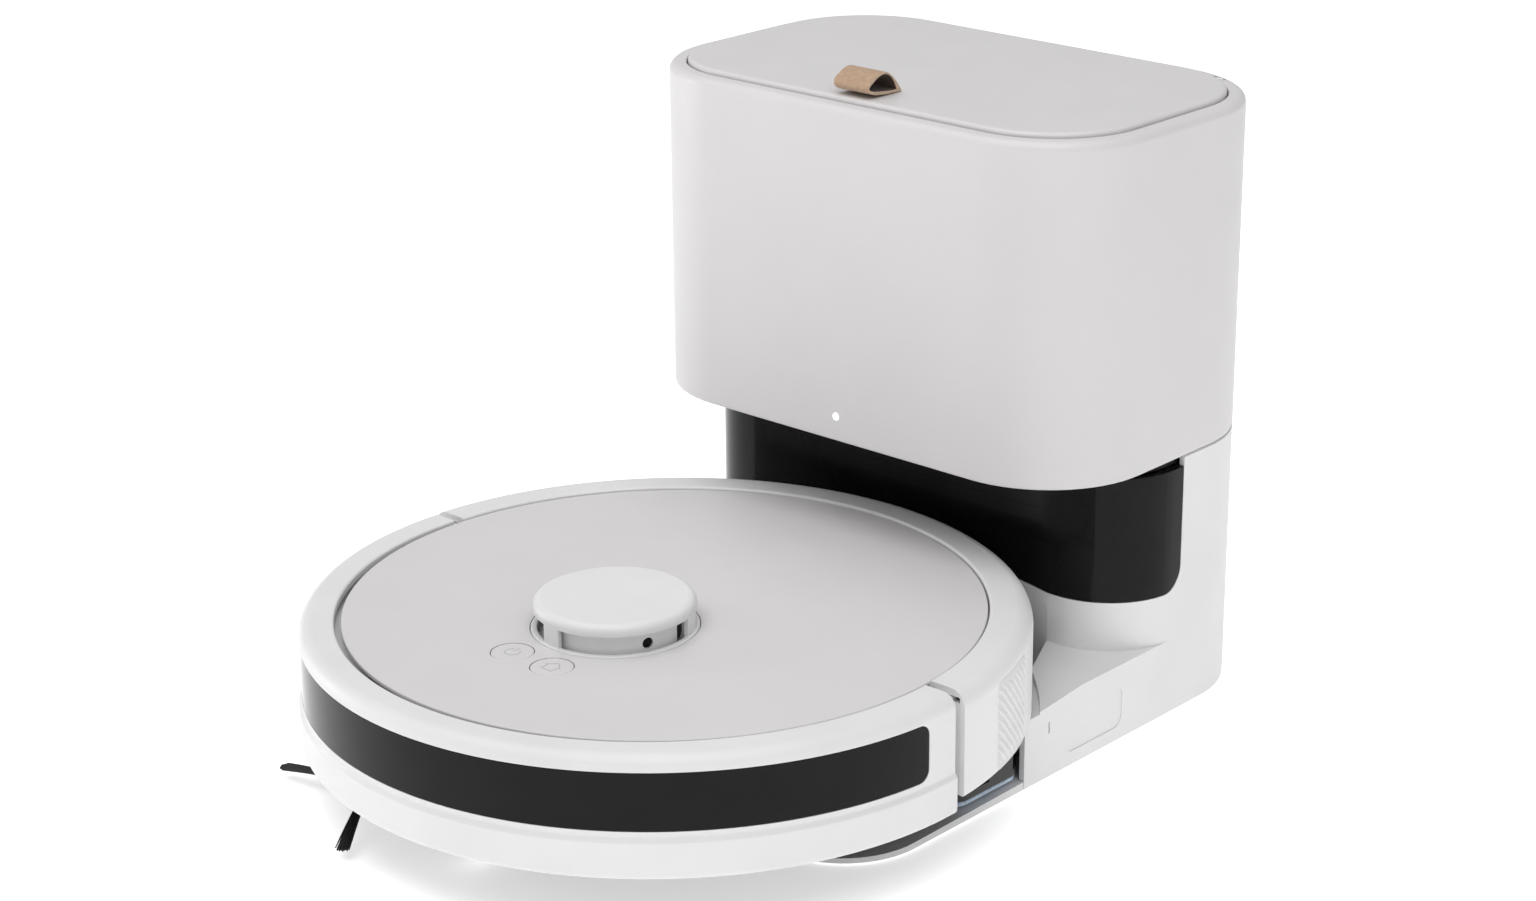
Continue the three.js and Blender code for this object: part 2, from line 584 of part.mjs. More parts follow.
function casterFork() {
  const { y, fork } = CASTER;
  const plate = drum(0, y, fork, 30.4, 33.4, 28);
  const cheeks = [-1, 1].map((side) => {
    const x = side * 9;
    return box([x - 1.5, x + 1.5], [y - 2, y + CASTER.trail + 5], [12, 31]);
  });
  return join(plate, drum(0, y, 4, 33, 42, 16), ...cheeks,
    axle(-9, 9, y + CASTER.trail, CASTER.z, 2, 12));
}

function casterWheel() {
  const y = CASTER.y + CASTER.trail;
  return cut(axle(-7, 7, y, CASTER.z, CASTER.radius, 28), axle(-8, 8, y, CASTER.z, 2 + GAP, 12));
}

// The main brush: a core with blades along it.
function rollerBrush() {
  const { y, z, radius, half } = ROLLER;
  const blades = [0, 1, 2, 3, 4, 5].map((turn) => {
    const blade = new THREE.BoxGeometry(2 * half - 6, 2.2, radius - 6);
    blade.translate(0, 0, (radius + 6) / 2).rotateX(turn * Math.PI / 3);
    return solidFrom(blade.translate(0, y, z));
  });
  return join(axle(-half, half, y, z, 8, 20), ...blades);
}

function brushGuard() {
  return cut(box([-86, 86], [-66, -17], [13.8, CHASSIS.bottom - GAP]),
    box([-80, 80], [-60, -22], [10, 20]));
}

// The arch over the main brush, with a throat that leads back into the dust bin.
function brushHousing() {
  const arch = join(box([-83, 83], [-62, -20], [20.3, 60]),
    box([-33, 33], [-21, DUST_BIN.front - GAP], [39, 60]));
  const room = box([-81, 81], [-60, -22], [19, 58]);
  return cut(arch, room, box([-30, 30], [-25, 10], [DUST_BIN.inletBottom, 58]));
}

function sideBrush() {
  const { x, y, reach, firstAngle } = SIDE_BRUSH;
  const arms = [0, 1, 2].map((turn) => {
    const tuft = new THREE.BoxGeometry(reach - 4, 3.2, 2.4).rotateY(THREE.MathUtils.degToRad(7));
    tuft.translate(reach / 2 + 2, 0, 9.4).rotateZ(THREE.MathUtils.degToRad(firstAngle + turn * 120));
    return solidFrom(tuft.translate(x, y, 0));
  });
  return join(drum(x, y, 9, 9, CHASSIS.bottom - GAP, 24), drum(x, y, 3, 16, 40, 16), ...arms);
}

// The mop's outline in plan: straight sides, round front corners and a back that follows the robot.
function mopBlock(inset, z0, z1) {
  const { halfWidth, front, radius, corner } = MOP;
  const plan = roundedPlan(halfWidth - inset, front + inset, radius + 20, Math.max(1, corner - inset),
    corner);
  return raise(plan, z0, z1).intersect(drum(0, 0, radius - inset, z0 - 1, z1 + 1, 60));
}

function mopHolder() {
  const plate = mopBlock(0, MOP.top + GAP, MOP.holderTop);
  const spacer = mopBlock(24, MOP.holderTop - 1, CHASSIS.bottom - GAP);
  const underChassis = spin([[0, CHASSIS.bottom - 0.4],
    [CHASSIS.radius - CHASSIS.taper - 0.2, CHASSIS.bottom - 0.4],
    [CHASSIS.radius + 0.5, CHASSIS.waist], [CHASSIS.radius + 0.5, 60], [0, 60]]);
  const lugs = [-1, 1].flatMap((side) => {
    const [x0, x1] = side < 0 ? [-MOP.halfWidth, -130] : [130, MOP.halfWidth];
    return [box([x0, x1], [MOP.front + 8, 60], [13, 22]), box([x0, x1], [70, 88], [13, 30])];
  });
  return cut(join(plate, spacer, ...lugs), underChassis);
}

for (const [side, hand] of [[-1, "left"], [1, "right"]]) {
  add("wheel_arm_" + hand, wheelArm(side), blackPlastic);
  add("wheel_hub_" + hand, wheelHub(side), greyPlastic);
  add("tyre_" + hand, tyre(side), rubber);
}
add("caster_fork", casterFork(), blackPlastic);
add("caster_wheel", casterWheel(), whitePlastic);
add("roller_brush", rollerBrush(), rubber);
add("brush_guard", brushGuard(), blackPlastic);
add("brush_housing", brushHousing(), blackPlastic);
add("side_brush", sideBrush(), rubber);
add("mop_holder", mopHolder(), blackPlastic);
add("mop_pad", mopBlock(0.5, MOP.under, MOP.top), mopCloth);

// ---- Robot: dust bin, fan, battery and electrics ----
// A box with a mouth in front for the brush's throat and a spout behind that meets the shell's outlet.
function dustBin() {
  const { halfWidth, front, back, bottom, top, wall, inletBottom } = DUST_BIN;
  const spout = box([-24, 24], [back - 1, 180], [PORT.bottom - 1, PORT.top + 1]).intersect(drum(0, 0,
    171.6, 0, 90, 60));
  const outside = join(box([-halfWidth, halfWidth], [front, back], [bottom, top]), spout);
  const room = box([-halfWidth + wall, halfWidth - wall], [front + wall, back - wall],
    [bottom + wall, top - wall]);
  const inlet = box([-30, 30], [front - 2, front + 4], [inletBottom, 58]);
  const outlet = box([-22, 22], [back - 4, 180], [PORT.bottom + 1, PORT.top - 1]);
  return cut(outside, room, inlet, outlet);
}

function chargePad(side) {
  const plate = box([side * CONTACT.x - 5.6, side * CONTACT.x + 5.6], [165, 180], [43.4, 56.6]);
  return plate.intersect(cut(drum(0, 0, ROBOT_RADIUS - 0.5, 40, 60, 144),
    drum(0, 0, ROBOT_RADIUS - 2.2, 30, 70, 144)));
}

add("dust_bin", dustBin(), blackPlastic);
add("bin_filter", box([-60, 60], [10, 60], [62, 73.4]), filterPaper);
add("fan_motor", drum(105, 84, 22, CHASSIS.floor + 13, 62, 28), blackPlastic);
add("battery", box([-72, 72], [-100, -67], [CHASSIS.floor + GAP, 44]), greyPlastic);
add("robot_board", box([-70, 70], [-135, -66], [50, 51.8]), board);
for (const side of CONTACT_SIDES) add(side < 0 ? "charge_pad_left" : "charge_pad_right", chargePad(side),
  brass);

export default object;
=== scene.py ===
import math

import bmesh
import bpy
import numpy as np
from mathutils import Matrix, Vector, noise


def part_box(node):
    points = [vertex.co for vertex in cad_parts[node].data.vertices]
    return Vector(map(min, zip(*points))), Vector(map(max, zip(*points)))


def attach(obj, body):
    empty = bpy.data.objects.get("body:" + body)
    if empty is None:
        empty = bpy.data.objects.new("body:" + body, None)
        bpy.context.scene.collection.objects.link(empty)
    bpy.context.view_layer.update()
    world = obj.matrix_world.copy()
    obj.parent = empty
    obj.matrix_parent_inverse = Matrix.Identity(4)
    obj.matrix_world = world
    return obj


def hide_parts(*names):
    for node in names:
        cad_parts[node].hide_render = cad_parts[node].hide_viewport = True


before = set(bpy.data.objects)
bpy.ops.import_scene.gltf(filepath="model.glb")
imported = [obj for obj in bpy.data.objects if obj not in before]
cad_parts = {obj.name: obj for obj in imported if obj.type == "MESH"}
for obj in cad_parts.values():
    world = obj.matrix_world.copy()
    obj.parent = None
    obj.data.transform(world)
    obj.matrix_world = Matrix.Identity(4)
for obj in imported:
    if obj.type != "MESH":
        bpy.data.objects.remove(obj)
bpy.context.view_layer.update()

# The looks of a robot vacuum in its self-emptying dock. Lengths are in millimetres until a mesh is made.
MM = 0.001


def span(node):
    """The lowest and highest corner of a CAD node, in millimetres."""
    low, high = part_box(node)
    return low / MM, high / MM


# ---- Driving dimensions, read from the frame ----
housing_low, housing_high = span("upper_housing")
HALF = housing_high.x
FRONT, BACK = housing_low.y, housing_high.y
FRONT_CORNER, BACK_CORNER = 58.0, 62.0
WALL = 3.0

plate_low, plate_high = span("top_plate")
PLATE_RADIUS = plate_high.x
ROBOT = Vector((0, (plate_low.y + plate_high.y) / 2))
bumper_low, bumper_high = span("bumper")
SHELL_RADIUS = ROBOT.y - bumper_low.y
RIM_TOP = bumper_high.z

panel_low, panel_high = span("front_panel")
COLUMN_FRONT = panel_low.y
COLUMN_CORNER = 41.0
POCKET_RADIUS, POCKET_DEPTH, POCKET_HALF = 400.0, 12.0, 98.0
PANEL_CORNER = 13.0


# ---- Outlines ----
def rounded(corners, steps=6, closed=True):
    """The points of an outline of (x, y, radius) corners, with an arc at each corner that has a radius."""
    points = []
    for i, (x, y, radius) in enumerate(corners):
        here = Vector((x, y))
        if radius <= 0 or (not closed and i in (0, len(corners) - 1)):
            points.append((x, y))
            continue
        back = (Vector(corners[i - 1][:2]) - here).normalized()
        ahead = (Vector(corners[(i + 1) % len(corners)][:2]) - here).normalized()
        half = back.angle(ahead) / 2
        centre = here + (back + ahead).normalized() * radius / math.sin(half)
        start = here + back * radius / math.tan(half) - centre
        end = here + ahead * radius / math.tan(half) - centre
        turn = start.angle(end)
        for k in range(steps + 1):
            t = k / steps
            arm = (start * math.sin((1 - t) * turn) + end * math.sin(t * turn)) / math.sin(turn)
            points.append(tuple(centre + arm))
    return points


def rectangle(half_width, front, back, front_radius, back_radius, inset=0.0, steps=16):
    """A rectangle in plan with round corners, moved in by a distance."""
    x, y0, y1 = half_width - inset, front + inset, back - inset
    r0, r1 = front_radius - inset, back_radius - inset
    return rounded([(-x, y0, r0), (x, y0, r0), (x, y1, r1), (-x, y1, r1)], steps)


def housing_plan(inset):
    return rectangle(HALF, FRONT, BACK, FRONT_CORNER, BACK_CORNER, inset)


def pocket_line(inset=0.0, steps=28):
    """The hollow front of the dock's column, from left to right."""
    centre = COLUMN_FRONT + POCKET_DEPTH - POCKET_RADIUS
    edge = math.asin(POCKET_HALF / POCKET_RADIUS)
    radius = POCKET_RADIUS + inset
    angles = [edge * (2 * k / steps - 1) for k in range(steps + 1)]
    return [(radius * math.sin(a), centre + radius * math.cos(a), 0) for a in angles]


def column_front(side_end, inset=0.0):
    """The column's front line, from the left side round both corners to the right side."""
    x, y, r = HALF - inset, COLUMN_FRONT + inset, COLUMN_CORNER - inset
    return rounded([(-x, side_end, 0), (-x, y, r), *pocket_line(inset), (x, y, r), (x, side_end, 0)],
        20, False)


def column_plan(inset=0.0):
    """The column's whole outline."""
    x, y, r = HALF - inset, BACK - inset, BACK_CORNER - inset
    front = column_front(y - r, inset)[1:-1]
    rear = rounded([(x, y - r, 0), (x, y, r), (-x, y, r), (-x, y - r, 0)], 20, False)[1:-1]
    return front + rear


# ---- Meshes ----
def mesh_piece(name, vertices, faces):
    """A new object from points in millimetres, with doubled points merged and faces turned outwards."""
    mesh = bpy.data.meshes.new(name)
    mesh.from_pydata([(x * MM, y * MM, z * MM) for x, y, z in vertices], [], faces)
    work = bmesh.new()
    work.from_mesh(mesh)
    bmesh.ops.remove_doubles(work, verts=work.verts, dist=1e-7)
    bmesh.ops.recalc_face_normals(work, faces=work.faces)
    work.to_mesh(mesh)
    work.free()
    piece = bpy.data.objects.new(name, mesh)
    bpy.context.scene.collection.objects.link(piece)
    return piece


def loft(name, rings, ends="caps"):
    """Skins rings of equal length. The ends are capped, or the last ring joins the first, as ends says."""
    count, size = len(rings), len(rings[0])
    vertices = [p for ring in rings for p in ring]
    faces = []
    for i in range(count if ends == "joined" else count - 1):
        a, b = i * size, (i + 1) % count * size
        faces += [(a + k, a + (k + 1) % size, b + (k + 1) % size, b + k) for k in range(size)]
    if ends == "caps":
        faces += [tuple(range(size)), tuple(range(len(vertices) - size, len(vertices)))]
    return mesh_piece(name, vertices, faces)


def stack(name, plan_at, profile, ends="caps"):
    """Lofts a plan outline through a profile of (inset, height) points."""
    return loft(name, [[(x, y, z) for x, y in plan_at(inset)] for inset, z in profile], ends)


def prism(name, outline, z0, z1):
    return loft(name, [[(x, y, z) for x, y in outline] for z in (z0, z1)])


def slab(name, outline, x0, x1):
    """A side outline of (y, z) points carried along X."""
    return loft(name, [[(x, y, z) for y, z in outline] for x in (x0, x1)])


def polar(radius, angle, centre=ROBOT):
    """A point round an upright axis. Angle 0 is straight ahead, -Y, and a quarter turn is +X."""
    return centre.x + radius * math.sin(angle), centre.y - radius * math.cos(angle)


def turned(name, profile, centre=ROBOT, angles=None, steps=192):
    """Turns a closed profile of (radius, height) points, all round or between angles(radius)."""
    whole = angles is None
    limits = angles or (lambda radius: (0.0, 2 * math.pi))
    rings = []
    for i in range(steps + (0 if whole else 1)):
        ring = []
        for radius, z in profile:
            start, end = limits(radius)
            ring.append((*polar(radius, start + (end - start) * i / steps, centre), z))
        rings.append(ring)
    return loft(name, rings, "joined" if whole else "caps")


def drum(name, centre, radius, z0, z1, edge=0.0, steps=64):
    """A round disc whose rims are rounded by edge."""
    return turned(name, rounded([(0, z0, 0), (radius, z0, edge), (radius, z1, edge), (0, z1, 0)], 4),
        centre, None, steps)


def rod(name, start, end, radius, steps=24):
    """A plain round bar between two points."""
    start, end = Vector(start), Vector(end)
    turn = (end - start).to_track_quat("Z", "Y")
    circle = [Vector((math.cos(a), math.sin(a), 0)) * radius
        for a in np.linspace(0, 2 * math.pi, steps, False)]
    return loft(name, [[tuple(at + turn @ p) for p in circle] for at in (start, end)])


def block(name, low, high):
    (x0, y0, z0), (x1, y1, z1) = low, high
    return prism(name, [(x0, y0), (x1, y0), (x1, y1), (x0, y1)], z0, z1)


def band(name, path, z0, z1, corners, depth, lift=0.0):
    """A plate along a plan path, with the corners at its ends rounded. depth goes in from the path."""
    line = np.array(path, float)
    steps = np.linalg.norm(np.diff(line, axis=0), axis=1)
    along = np.concatenate([[0], np.cumsum(steps)])
    tangent = np.gradient(line, along, axis=0)
    tangent /= np.linalg.norm(tangent, axis=1)[:, None]
    outward = np.stack([tangent[:, 1], -tangent[:, 0]], 1)
    low_r, high_r = corners
    reach = max(low_r, high_r, 0.01)
    turn = np.linspace(0, math.pi / 2, 9)
    ends = reach * (1 - np.cos(turn))
    stations = np.unique(np.concatenate([ends, along[(along > reach) & (along < along[-1] - reach)],
        along[-1] - ends]))
    rings = []
    for s in stations:
        x, y = (np.interp(s, along, line[:, k]) for k in (0, 1))
        nx, ny = (np.interp(s, along, outward[:, k]) for k in (0, 1))
        end = min(s, along[-1] - s)
        low, high = (
            z + sign * (r - math.sqrt(max(0, r * r - max(0, r - end) ** 2)))
            for z, sign, r in ((z0, 1, low_r), (z1, -1, high_r))
        )
        ring = [(x + nx * d, y + ny * d, z)
            for d, z in ((lift, low), (lift, high), (-depth, high), (-depth, low))]
        rings.append(ring)
    return loft(name, rings)


def baked(piece):
    """Applies a piece's modifiers to its mesh."""
    bpy.context.view_layer.update()
    shape = piece.evaluated_get(bpy.context.evaluated_depsgraph_get())
    piece.data = bpy.data.meshes.new_from_object(shape)
    piece.modifiers.clear()
    return piece


def combined(piece, tools, operation):
    for tool in tools:
        change = piece.modifiers.new("join", "BOOLEAN")
        change.operation = operation
        change.solver = "EXACT"
        change.object = tool
        baked(piece)
        bpy.data.objects.remove(tool)
    return piece


def cut(piece, *tools):
    return combined(piece, tools, "DIFFERENCE")


def fused(piece, *tools):
    return combined(piece, tools, "UNION")


def joined(piece, *others):
    """Puts several meshes in one object without cutting them."""
    work = bmesh.new()
    work.from_mesh(piece.data)
    for other in others:
        work.from_mesh(other.data)
        bpy.data.objects.remove(other)
    work.to_mesh(piece.data)
    work.free()
    return piece


def bevelled(piece, width, segments=2, angle=40):
    """Rounds every edge that is sharper than angle degrees."""
    edge = piece.modifiers.new("edges", "BEVEL")
    edge.width = width * MM
    edge.segments = segments
    edge.limit_method = "ANGLE"
    edge.angle_limit = math.radians(angle)
    edge.use_clamp_overlap = True
    edge.miter_outer = "MITER_ARC"
    return baked(piece)


def smooth(piece, angle=40):
    """Shades a piece smooth except over edges sharper than angle degrees."""
    piece.data.shade_smooth()
    piece.data.set_sharp_from_angle(angle=math.radians(angle))
    weigh = piece.modifiers.new("normals", "WEIGHTED_NORMAL")
    weigh.keep_sharp = True
    return baked(piece)


def settle(piece, body, finish, nodes=(), angle=40):
    """Gives a finished piece its shading, material, body and the CAD nodes that it stands for."""
    smooth(piece, angle)
    if not piece.data.materials:
        piece.data.materials.append(finish)
    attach(piece, body)
    if nodes:
        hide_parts(*nodes)
    return piece


# ---- Materials ----
class Finish:
    """A material whose colour, roughness and relief vary over the surface in the piece's own space."""

    def __init__(self, name, color, roughness, **sockets):
        self.material = bpy.data.materials.new(name)
        self.material.use_nodes = True
        self.nodes = self.material.node_tree.nodes
        self.links = self.material.node_tree.links
        self.shader = self.nodes["Principled BSDF"]
        self.shader.inputs["Base Color"].default_value = (*color, 1)
        self.shader.inputs["Roughness"].default_value = roughness
        for socket, value in sockets.items():
            self.shader.inputs[socket.replace("_", " ")].default_value = value
        self.color = color
        self.place = self.node("ShaderNodeTexCoord").outputs["Object"]

    def node(self, kind, **values):
        made = self.nodes.new(kind)
        for name, value in values.items():
            setattr(made, name, value)
        return made

    def noise(self, size, detail=3.0, stretch=(1, 1, 1)):
        """Smooth noise whose lumps are about size millimetres across."""
        moved = self.node("ShaderNodeMapping")
        moved.inputs["Scale"].default_value = stretch
        texture = self.node("ShaderNodeTexNoise")
        texture.inputs["Scale"].default_value = 1 / (size * MM)
        texture.inputs["Detail"].default_value = detail
        self.links.new(self.place, moved.inputs["Vector"])
        self.links.new(moved.outputs["Vector"], texture.inputs["Vector"])
        return texture.outputs["Fac"]

    def cells(self, size, feature="F1"):
        """Rounded cells about size millimetres across."""
        texture = self.node("ShaderNodeTexVoronoi", feature=feature)
        texture.inputs["Scale"].default_value = 1 / (size * MM)
        self.links.new(self.place, texture.inputs["Vector"])
        return texture.outputs["Distance"]

    def waves(self, size, axis, distortion=0.0):
        """Parallel ridges, one every size millimetres."""
        texture = self.node("ShaderNodeTexWave", bands_direction=axis)
        texture.inputs["Scale"].default_value = math.pi / 10 / (size * MM)
        texture.inputs["Distortion"].default_value = distortion
        self.links.new(self.place, texture.inputs["Vector"])
        return texture.outputs["Fac"]

    def spread(self, value, low, high, start=0.3, end=0.7):
        """Maps a pattern's middle range on to low to high."""
        ranged = self.node("ShaderNodeMapRange")
        ranged.inputs["From Min"].default_value = start
        ranged.inputs["From Max"].default_value = end
        ranged.inputs["To Min"].default_value = low
        ranged.inputs["To Max"].default_value = high
        self.links.new(value, ranged.inputs["Value"])
        return ranged.outputs["Result"]

    def tint(self, pattern, other, start=0.35, end=0.65):
        """Mixes another colour in where the pattern is high."""
        mix = self.node("ShaderNodeMix", data_type="RGBA")
        mix.inputs["A"].default_value = (*self.color, 1)
        mix.inputs["B"].default_value = (*other, 1)
        self.links.new(self.spread(pattern, 0, 1, start, end), mix.inputs["Factor"])
        self.links.new(mix.outputs["Result"], self.shader.inputs["Base Color"])
        return self

    def wear(self, pattern, low, high):
        """Makes the roughness run from low to high with the pattern."""
        self.links.new(self.spread(pattern, low, high), self.shader.inputs["Roughness"])
        return self

    def relief(self, pattern, height):
        """Raises the surface by up to height millimetres where the pattern is high."""
        bump = self.node("ShaderNodeBump")
        bump.inputs["Distance"].default_value = height * MM
        before = self.shader.inputs["Normal"].links
        if before:
            self.links.new(before[0].from_socket, bump.inputs["Normal"])
        self.links.new(pattern, bump.inputs["Height"])
        self.links.new(bump.outputs["Normal"], self.shader.inputs["Normal"])
        return self


def grey(value):
    return (value, value, value)


def moulded(name, color, roughness, grain, depth, shade=0.97, **sockets):
    """Moulded plastic with a fine spark-eroded grain and faint flow marks."""
    look = Finish(name, color, roughness, **sockets)
    look.tint(look.noise(45, 2), tuple(c * shade for c in color))
    look.wear(look.noise(18), roughness - 0.04, roughness + 0.04)
    look.relief(look.noise(grain, 2), depth)
    return look.material


def polished(name, color, roughness, **sockets):
    """Smooth glossy plastic with faint ripples and fine wipe marks."""
    look = Finish(name, color, roughness, **sockets)
    look.tint(look.noise(30, 2), tuple(c * 1.5 for c in color))
    look.wear(look.noise(9, 4, (1, 1, 0.3)), roughness, roughness + 0.02)
    look.relief(look.noise(35, 1), 0.012)
    return look.material


def metal(name, color, roughness, grain=(1, 1, 1)):
    look = Finish(name, color, roughness, Metallic=1.0)
    look.tint(look.noise(3, 4, grain), tuple(c * 0.82 for c in color))
    look.wear(look.noise(0.8, 4, grain), roughness - 0.06, roughness + 0.1)
    look.relief(look.noise(0.3, 3, grain), 0.008)
    return look.material


def cloth_like(name, color, shade, fibre, depth, **sockets):
    """Matted fibres, darker in random patches."""
    look = Finish(name, color, 0.92, **sockets)
    look.tint(look.noise(fibre * 3, 4), shade)
    look.wear(look.noise(fibre * 2), 0.85, 0.97)
    look.relief(look.noise(fibre, 4), depth)
    look.relief(look.cells(fibre * 2.2), depth * 0.6)
    return look.material


WHITE = moulded("white_satin", (0.755, 0.752, 0.755), 0.42, 0.55, 0.012)
WARM = moulded("warm_white_satin", (0.66, 0.645, 0.652), 0.40, 0.5, 0.010, 0.985)
GLOSS = polished("black_gloss", grey(0.004), 0.03, Specular_IOR_Level=0.15)
BLACK = moulded("black_moulded", grey(0.018), 0.5, 0.7, 0.03, 0.7)
MATT_BLACK = moulded("black_matt", grey(0.006), 0.75, 0.7, 0.03, 0.7)
# A lighter copy of the white satin: painted light on the rotor's fairing, against the shade the turret cap
# casts on it.
WHITE_WITH_PAINTED_LIGHT = moulded("white_satin_painted_light", (0.9, 0.898, 0.9), 0.42, 0.55, 0.012)
GREY = moulded("grey_moulded", grey(0.27), 0.5, 0.7, 0.02)
# Pale grey: the bag flange's own colour, and painted shade in the engraved button icons.
PALE_GREY_AND_ENGRAVING_SHADE = moulded("pale_grey_and_painted_engraving_shade", grey(0.47), 0.5, 0.5, 0.01)
# Mid grey laid where a groove's shade falls: painted shade in the rear seam, between the vent ridges and in
# the engraved ring round the buttons.
GROOVE_SHADE_GREY = moulded("painted_groove_shade_grey", grey(0.66), 0.5, 0.5, 0.01)
BRASS = metal("brass", (0.75, 0.52, 0.20), 0.28)
STEEL = metal("steel", (0.62, 0.62, 0.63), 0.26, (1, 6, 6))
ALUMINIUM = metal("aluminium", (0.55, 0.55, 0.56), 0.38)
BAG = cloth_like("dust_bag_fleece", (0.78, 0.75, 0.68), (0.66, 0.63, 0.56), 0.7, 0.09, Sheen_Weight=0.3)
MOP_CLOTH = cloth_like("mop_microfibre", (0.56, 0.66, 0.78), (0.40, 0.51, 0.66), 1.1, 0.45, Sheen_Weight=0.5)


def rubber_look(name, color, roughness, lump):
    look = Finish(name, color, roughness)
    look.tint(look.noise(12), tuple(c * 1.6 for c in color))
    look.wear(look.noise(3), roughness - 0.08, roughness + 0.06)
    look.relief(look.noise(lump, 3), 0.03)
    return look.material


RUBBER = rubber_look("soft_rubber", grey(0.014), 0.78, 0.5)
TYRE = rubber_look("tyre_rubber", grey(0.020), 0.88, 0.8)


def leather_look(name, color, dark, pores, depth):
    look = Finish(name, color, 0.6, Sheen_Weight=0.15)
    look.tint(look.noise(2.6, 4), dark)
    look.wear(look.noise(1.5, 3), 0.52, 0.68)
    look.relief(look.cells(pores, "DISTANCE_TO_EDGE"), depth)
    look.relief(look.noise(0.35, 3), depth * 0.4)
    return look.material


TAN = leather_look("tan_leather", (0.46, 0.31, 0.20), (0.39, 0.255, 0.16), 0.55, 0.05)
LEATHER_EDGE = leather_look("cut_leather_edge", (0.60, 0.45, 0.32), (0.50, 0.36, 0.25), 0.3, 0.04)
SUEDE = leather_look("brown_suede", (0.085, 0.045, 0.026), (0.05, 0.026, 0.015), 0.4, 0.08)


def filter_look():
    """Folded filter paper: sharp pleats with fibres on them, darker down in the folds as painted shade."""
    look = Finish("filter_paper", (0.82, 0.82, 0.78), 0.9)
    pleats = look.waves(3.2, "X")
    # Painted shade: the tint darkens the low folds of the pleats.
    look.tint(pleats, (0.50, 0.50, 0.47), 0.6, 0.05)
    look.wear(look.noise(2), 0.82, 0.95)
    look.relief(pleats, 1.6)
    return look.material


def board_look():
    """A printed circuit board: green lacquer with lighter tracks."""
    look = Finish("circuit_board", (0.010, 0.085, 0.030), 0.35, Coat_Weight=0.4)
    tracks = look.cells(7, "DISTANCE_TO_EDGE")
    look.tint(tracks, (0.03, 0.20, 0.07), 0.12, 0.04)
    look.wear(look.noise(5), 0.28, 0.42)
    look.relief(tracks, 0.05)
    return look.material


def sleeve_look():
    """The battery's shrink sleeve, crinkled where it was heated."""
    look = Finish("battery_sleeve", (0.05, 0.10, 0.22), 0.3)
    look.tint(look.noise(14), (0.07, 0.14, 0.30))
    look.wear(look.noise(6), 0.24, 0.4)
    look.relief(look.noise(7, 5, (1, 0.25, 1)), 0.25)
    return look.material


def lens_look():
    """A lit diffuser, brightest in the middle of its speckle."""
    look = Finish("light_lens", (0.95, 0.95, 0.95), 0.3, Emission_Strength=2.5)
    glow = look.node("ShaderNodeMix", data_type="RGBA")
    glow.inputs["A"].default_value = (0.90, 0.95, 1.0, 1)
    glow.inputs["B"].default_value = (1.0, 1.0, 1.0, 1)
    look.links.new(look.noise(0.6), glow.inputs["Factor"])
    look.links.new(glow.outputs["Result"], look.shader.inputs["Emission Color"])
    return look.material


FILTER = filter_look()
BOARD = board_look()
SLEEVE = sleeve_look()
LENS = lens_look()


# ---- CAD nodes that stay, with finer edges and finishes ----
def dress(node, finish, edge=0.0, segments=2):
    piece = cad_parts[node]
    piece.data.materials.clear()
    piece.data.materials.append(finish)
    if edge:
        soften = piece.modifiers.new("edges", "BEVEL")
        soften.width = edge * MM
        soften.segments = segments
        soften.limit_method = "ANGLE"
        soften.angle_limit = math.radians(40)
    piece.data.shade_smooth()
    piece.data.set_sharp_from_angle(angle=math.radians(38))
    weigh = piece.modifiers.new("normals", "WEIGHTED_NORMAL")
    weigh.keep_sharp = True


DRESSED = {
    "port_seal": (RUBBER, 0.8), "foot_1": (RUBBER, 0.5), "foot_2": (RUBBER, 0.5), "foot_3": (RUBBER, 0.5),
    "foot_4": (RUBBER, 0.5), "contact_left": (BRASS, 1.0), "contact_right": (BRASS, 1.0),
    "status_light": (LENS, 0.4), "hinge_pin_left": (STEEL, 0.2), "hinge_pin_right": (STEEL, 0.2),
    # The lid seal's black is painted shade: it fills the gap round the lid, which is dark by shadow.
    "lid_seal": (RUBBER, 0.8), "bag_chamber": (GREY, 0.6),
    "bag_bracket": (BLACK, 0.5), "bag_flange": (PALE_GREY_AND_ENGRAVING_SHADE, 0.4),
    "suction_duct": (GREY, 0.6), "suction_motor": (ALUMINIUM, 0.8), "motor_mount": (RUBBER, 0.8),
    "motor_filter": (FILTER, 0.5), "exhaust_grille": (BLACK, 0.4), "dock_board": (BOARD, 0.0),
    "power_inlet": (BLACK, 0.5), "chassis": (MATT_BLACK, 0.5), "wheel_arm_left": (BLACK, 0.8),
    "wheel_arm_right": (BLACK, 0.8), "wheel_hub_left": (GREY, 0.8), "wheel_hub_right": (GREY, 0.8),
    "caster_fork": (BLACK, 0.5), "brush_guard": (BLACK, 0.5), "brush_housing": (BLACK, 0.6),
    "mop_holder": (BLACK, 0.5), "dust_bin": (BLACK, 0.8), "bin_filter": (FILTER, 0.4),
    "fan_motor": (BLACK, 0.8),
    "battery": (SLEEVE, 2.0), "robot_board": (BOARD, 0.0), "charge_pad_left": (BRASS, 0.3),
    "charge_pad_right": (BRASS, 0.3),
}
for node_name, (node_finish, node_edge) in DRESSED.items():
    dress(node_name, node_finish, node_edge)


# ---- Dock: upper housing, lid and pull tab ----
HOUSING_BOTTOM, HOUSING_TOP = housing_low.z, housing_high.z
lid_low, lid_high = span("lid")
hinge_low, hinge_high = span("hinge_pin_right")
HINGE = ((hinge_low.y + hinge_high.y) / 2, (hinge_low.z + hinge_high.z) / 2)


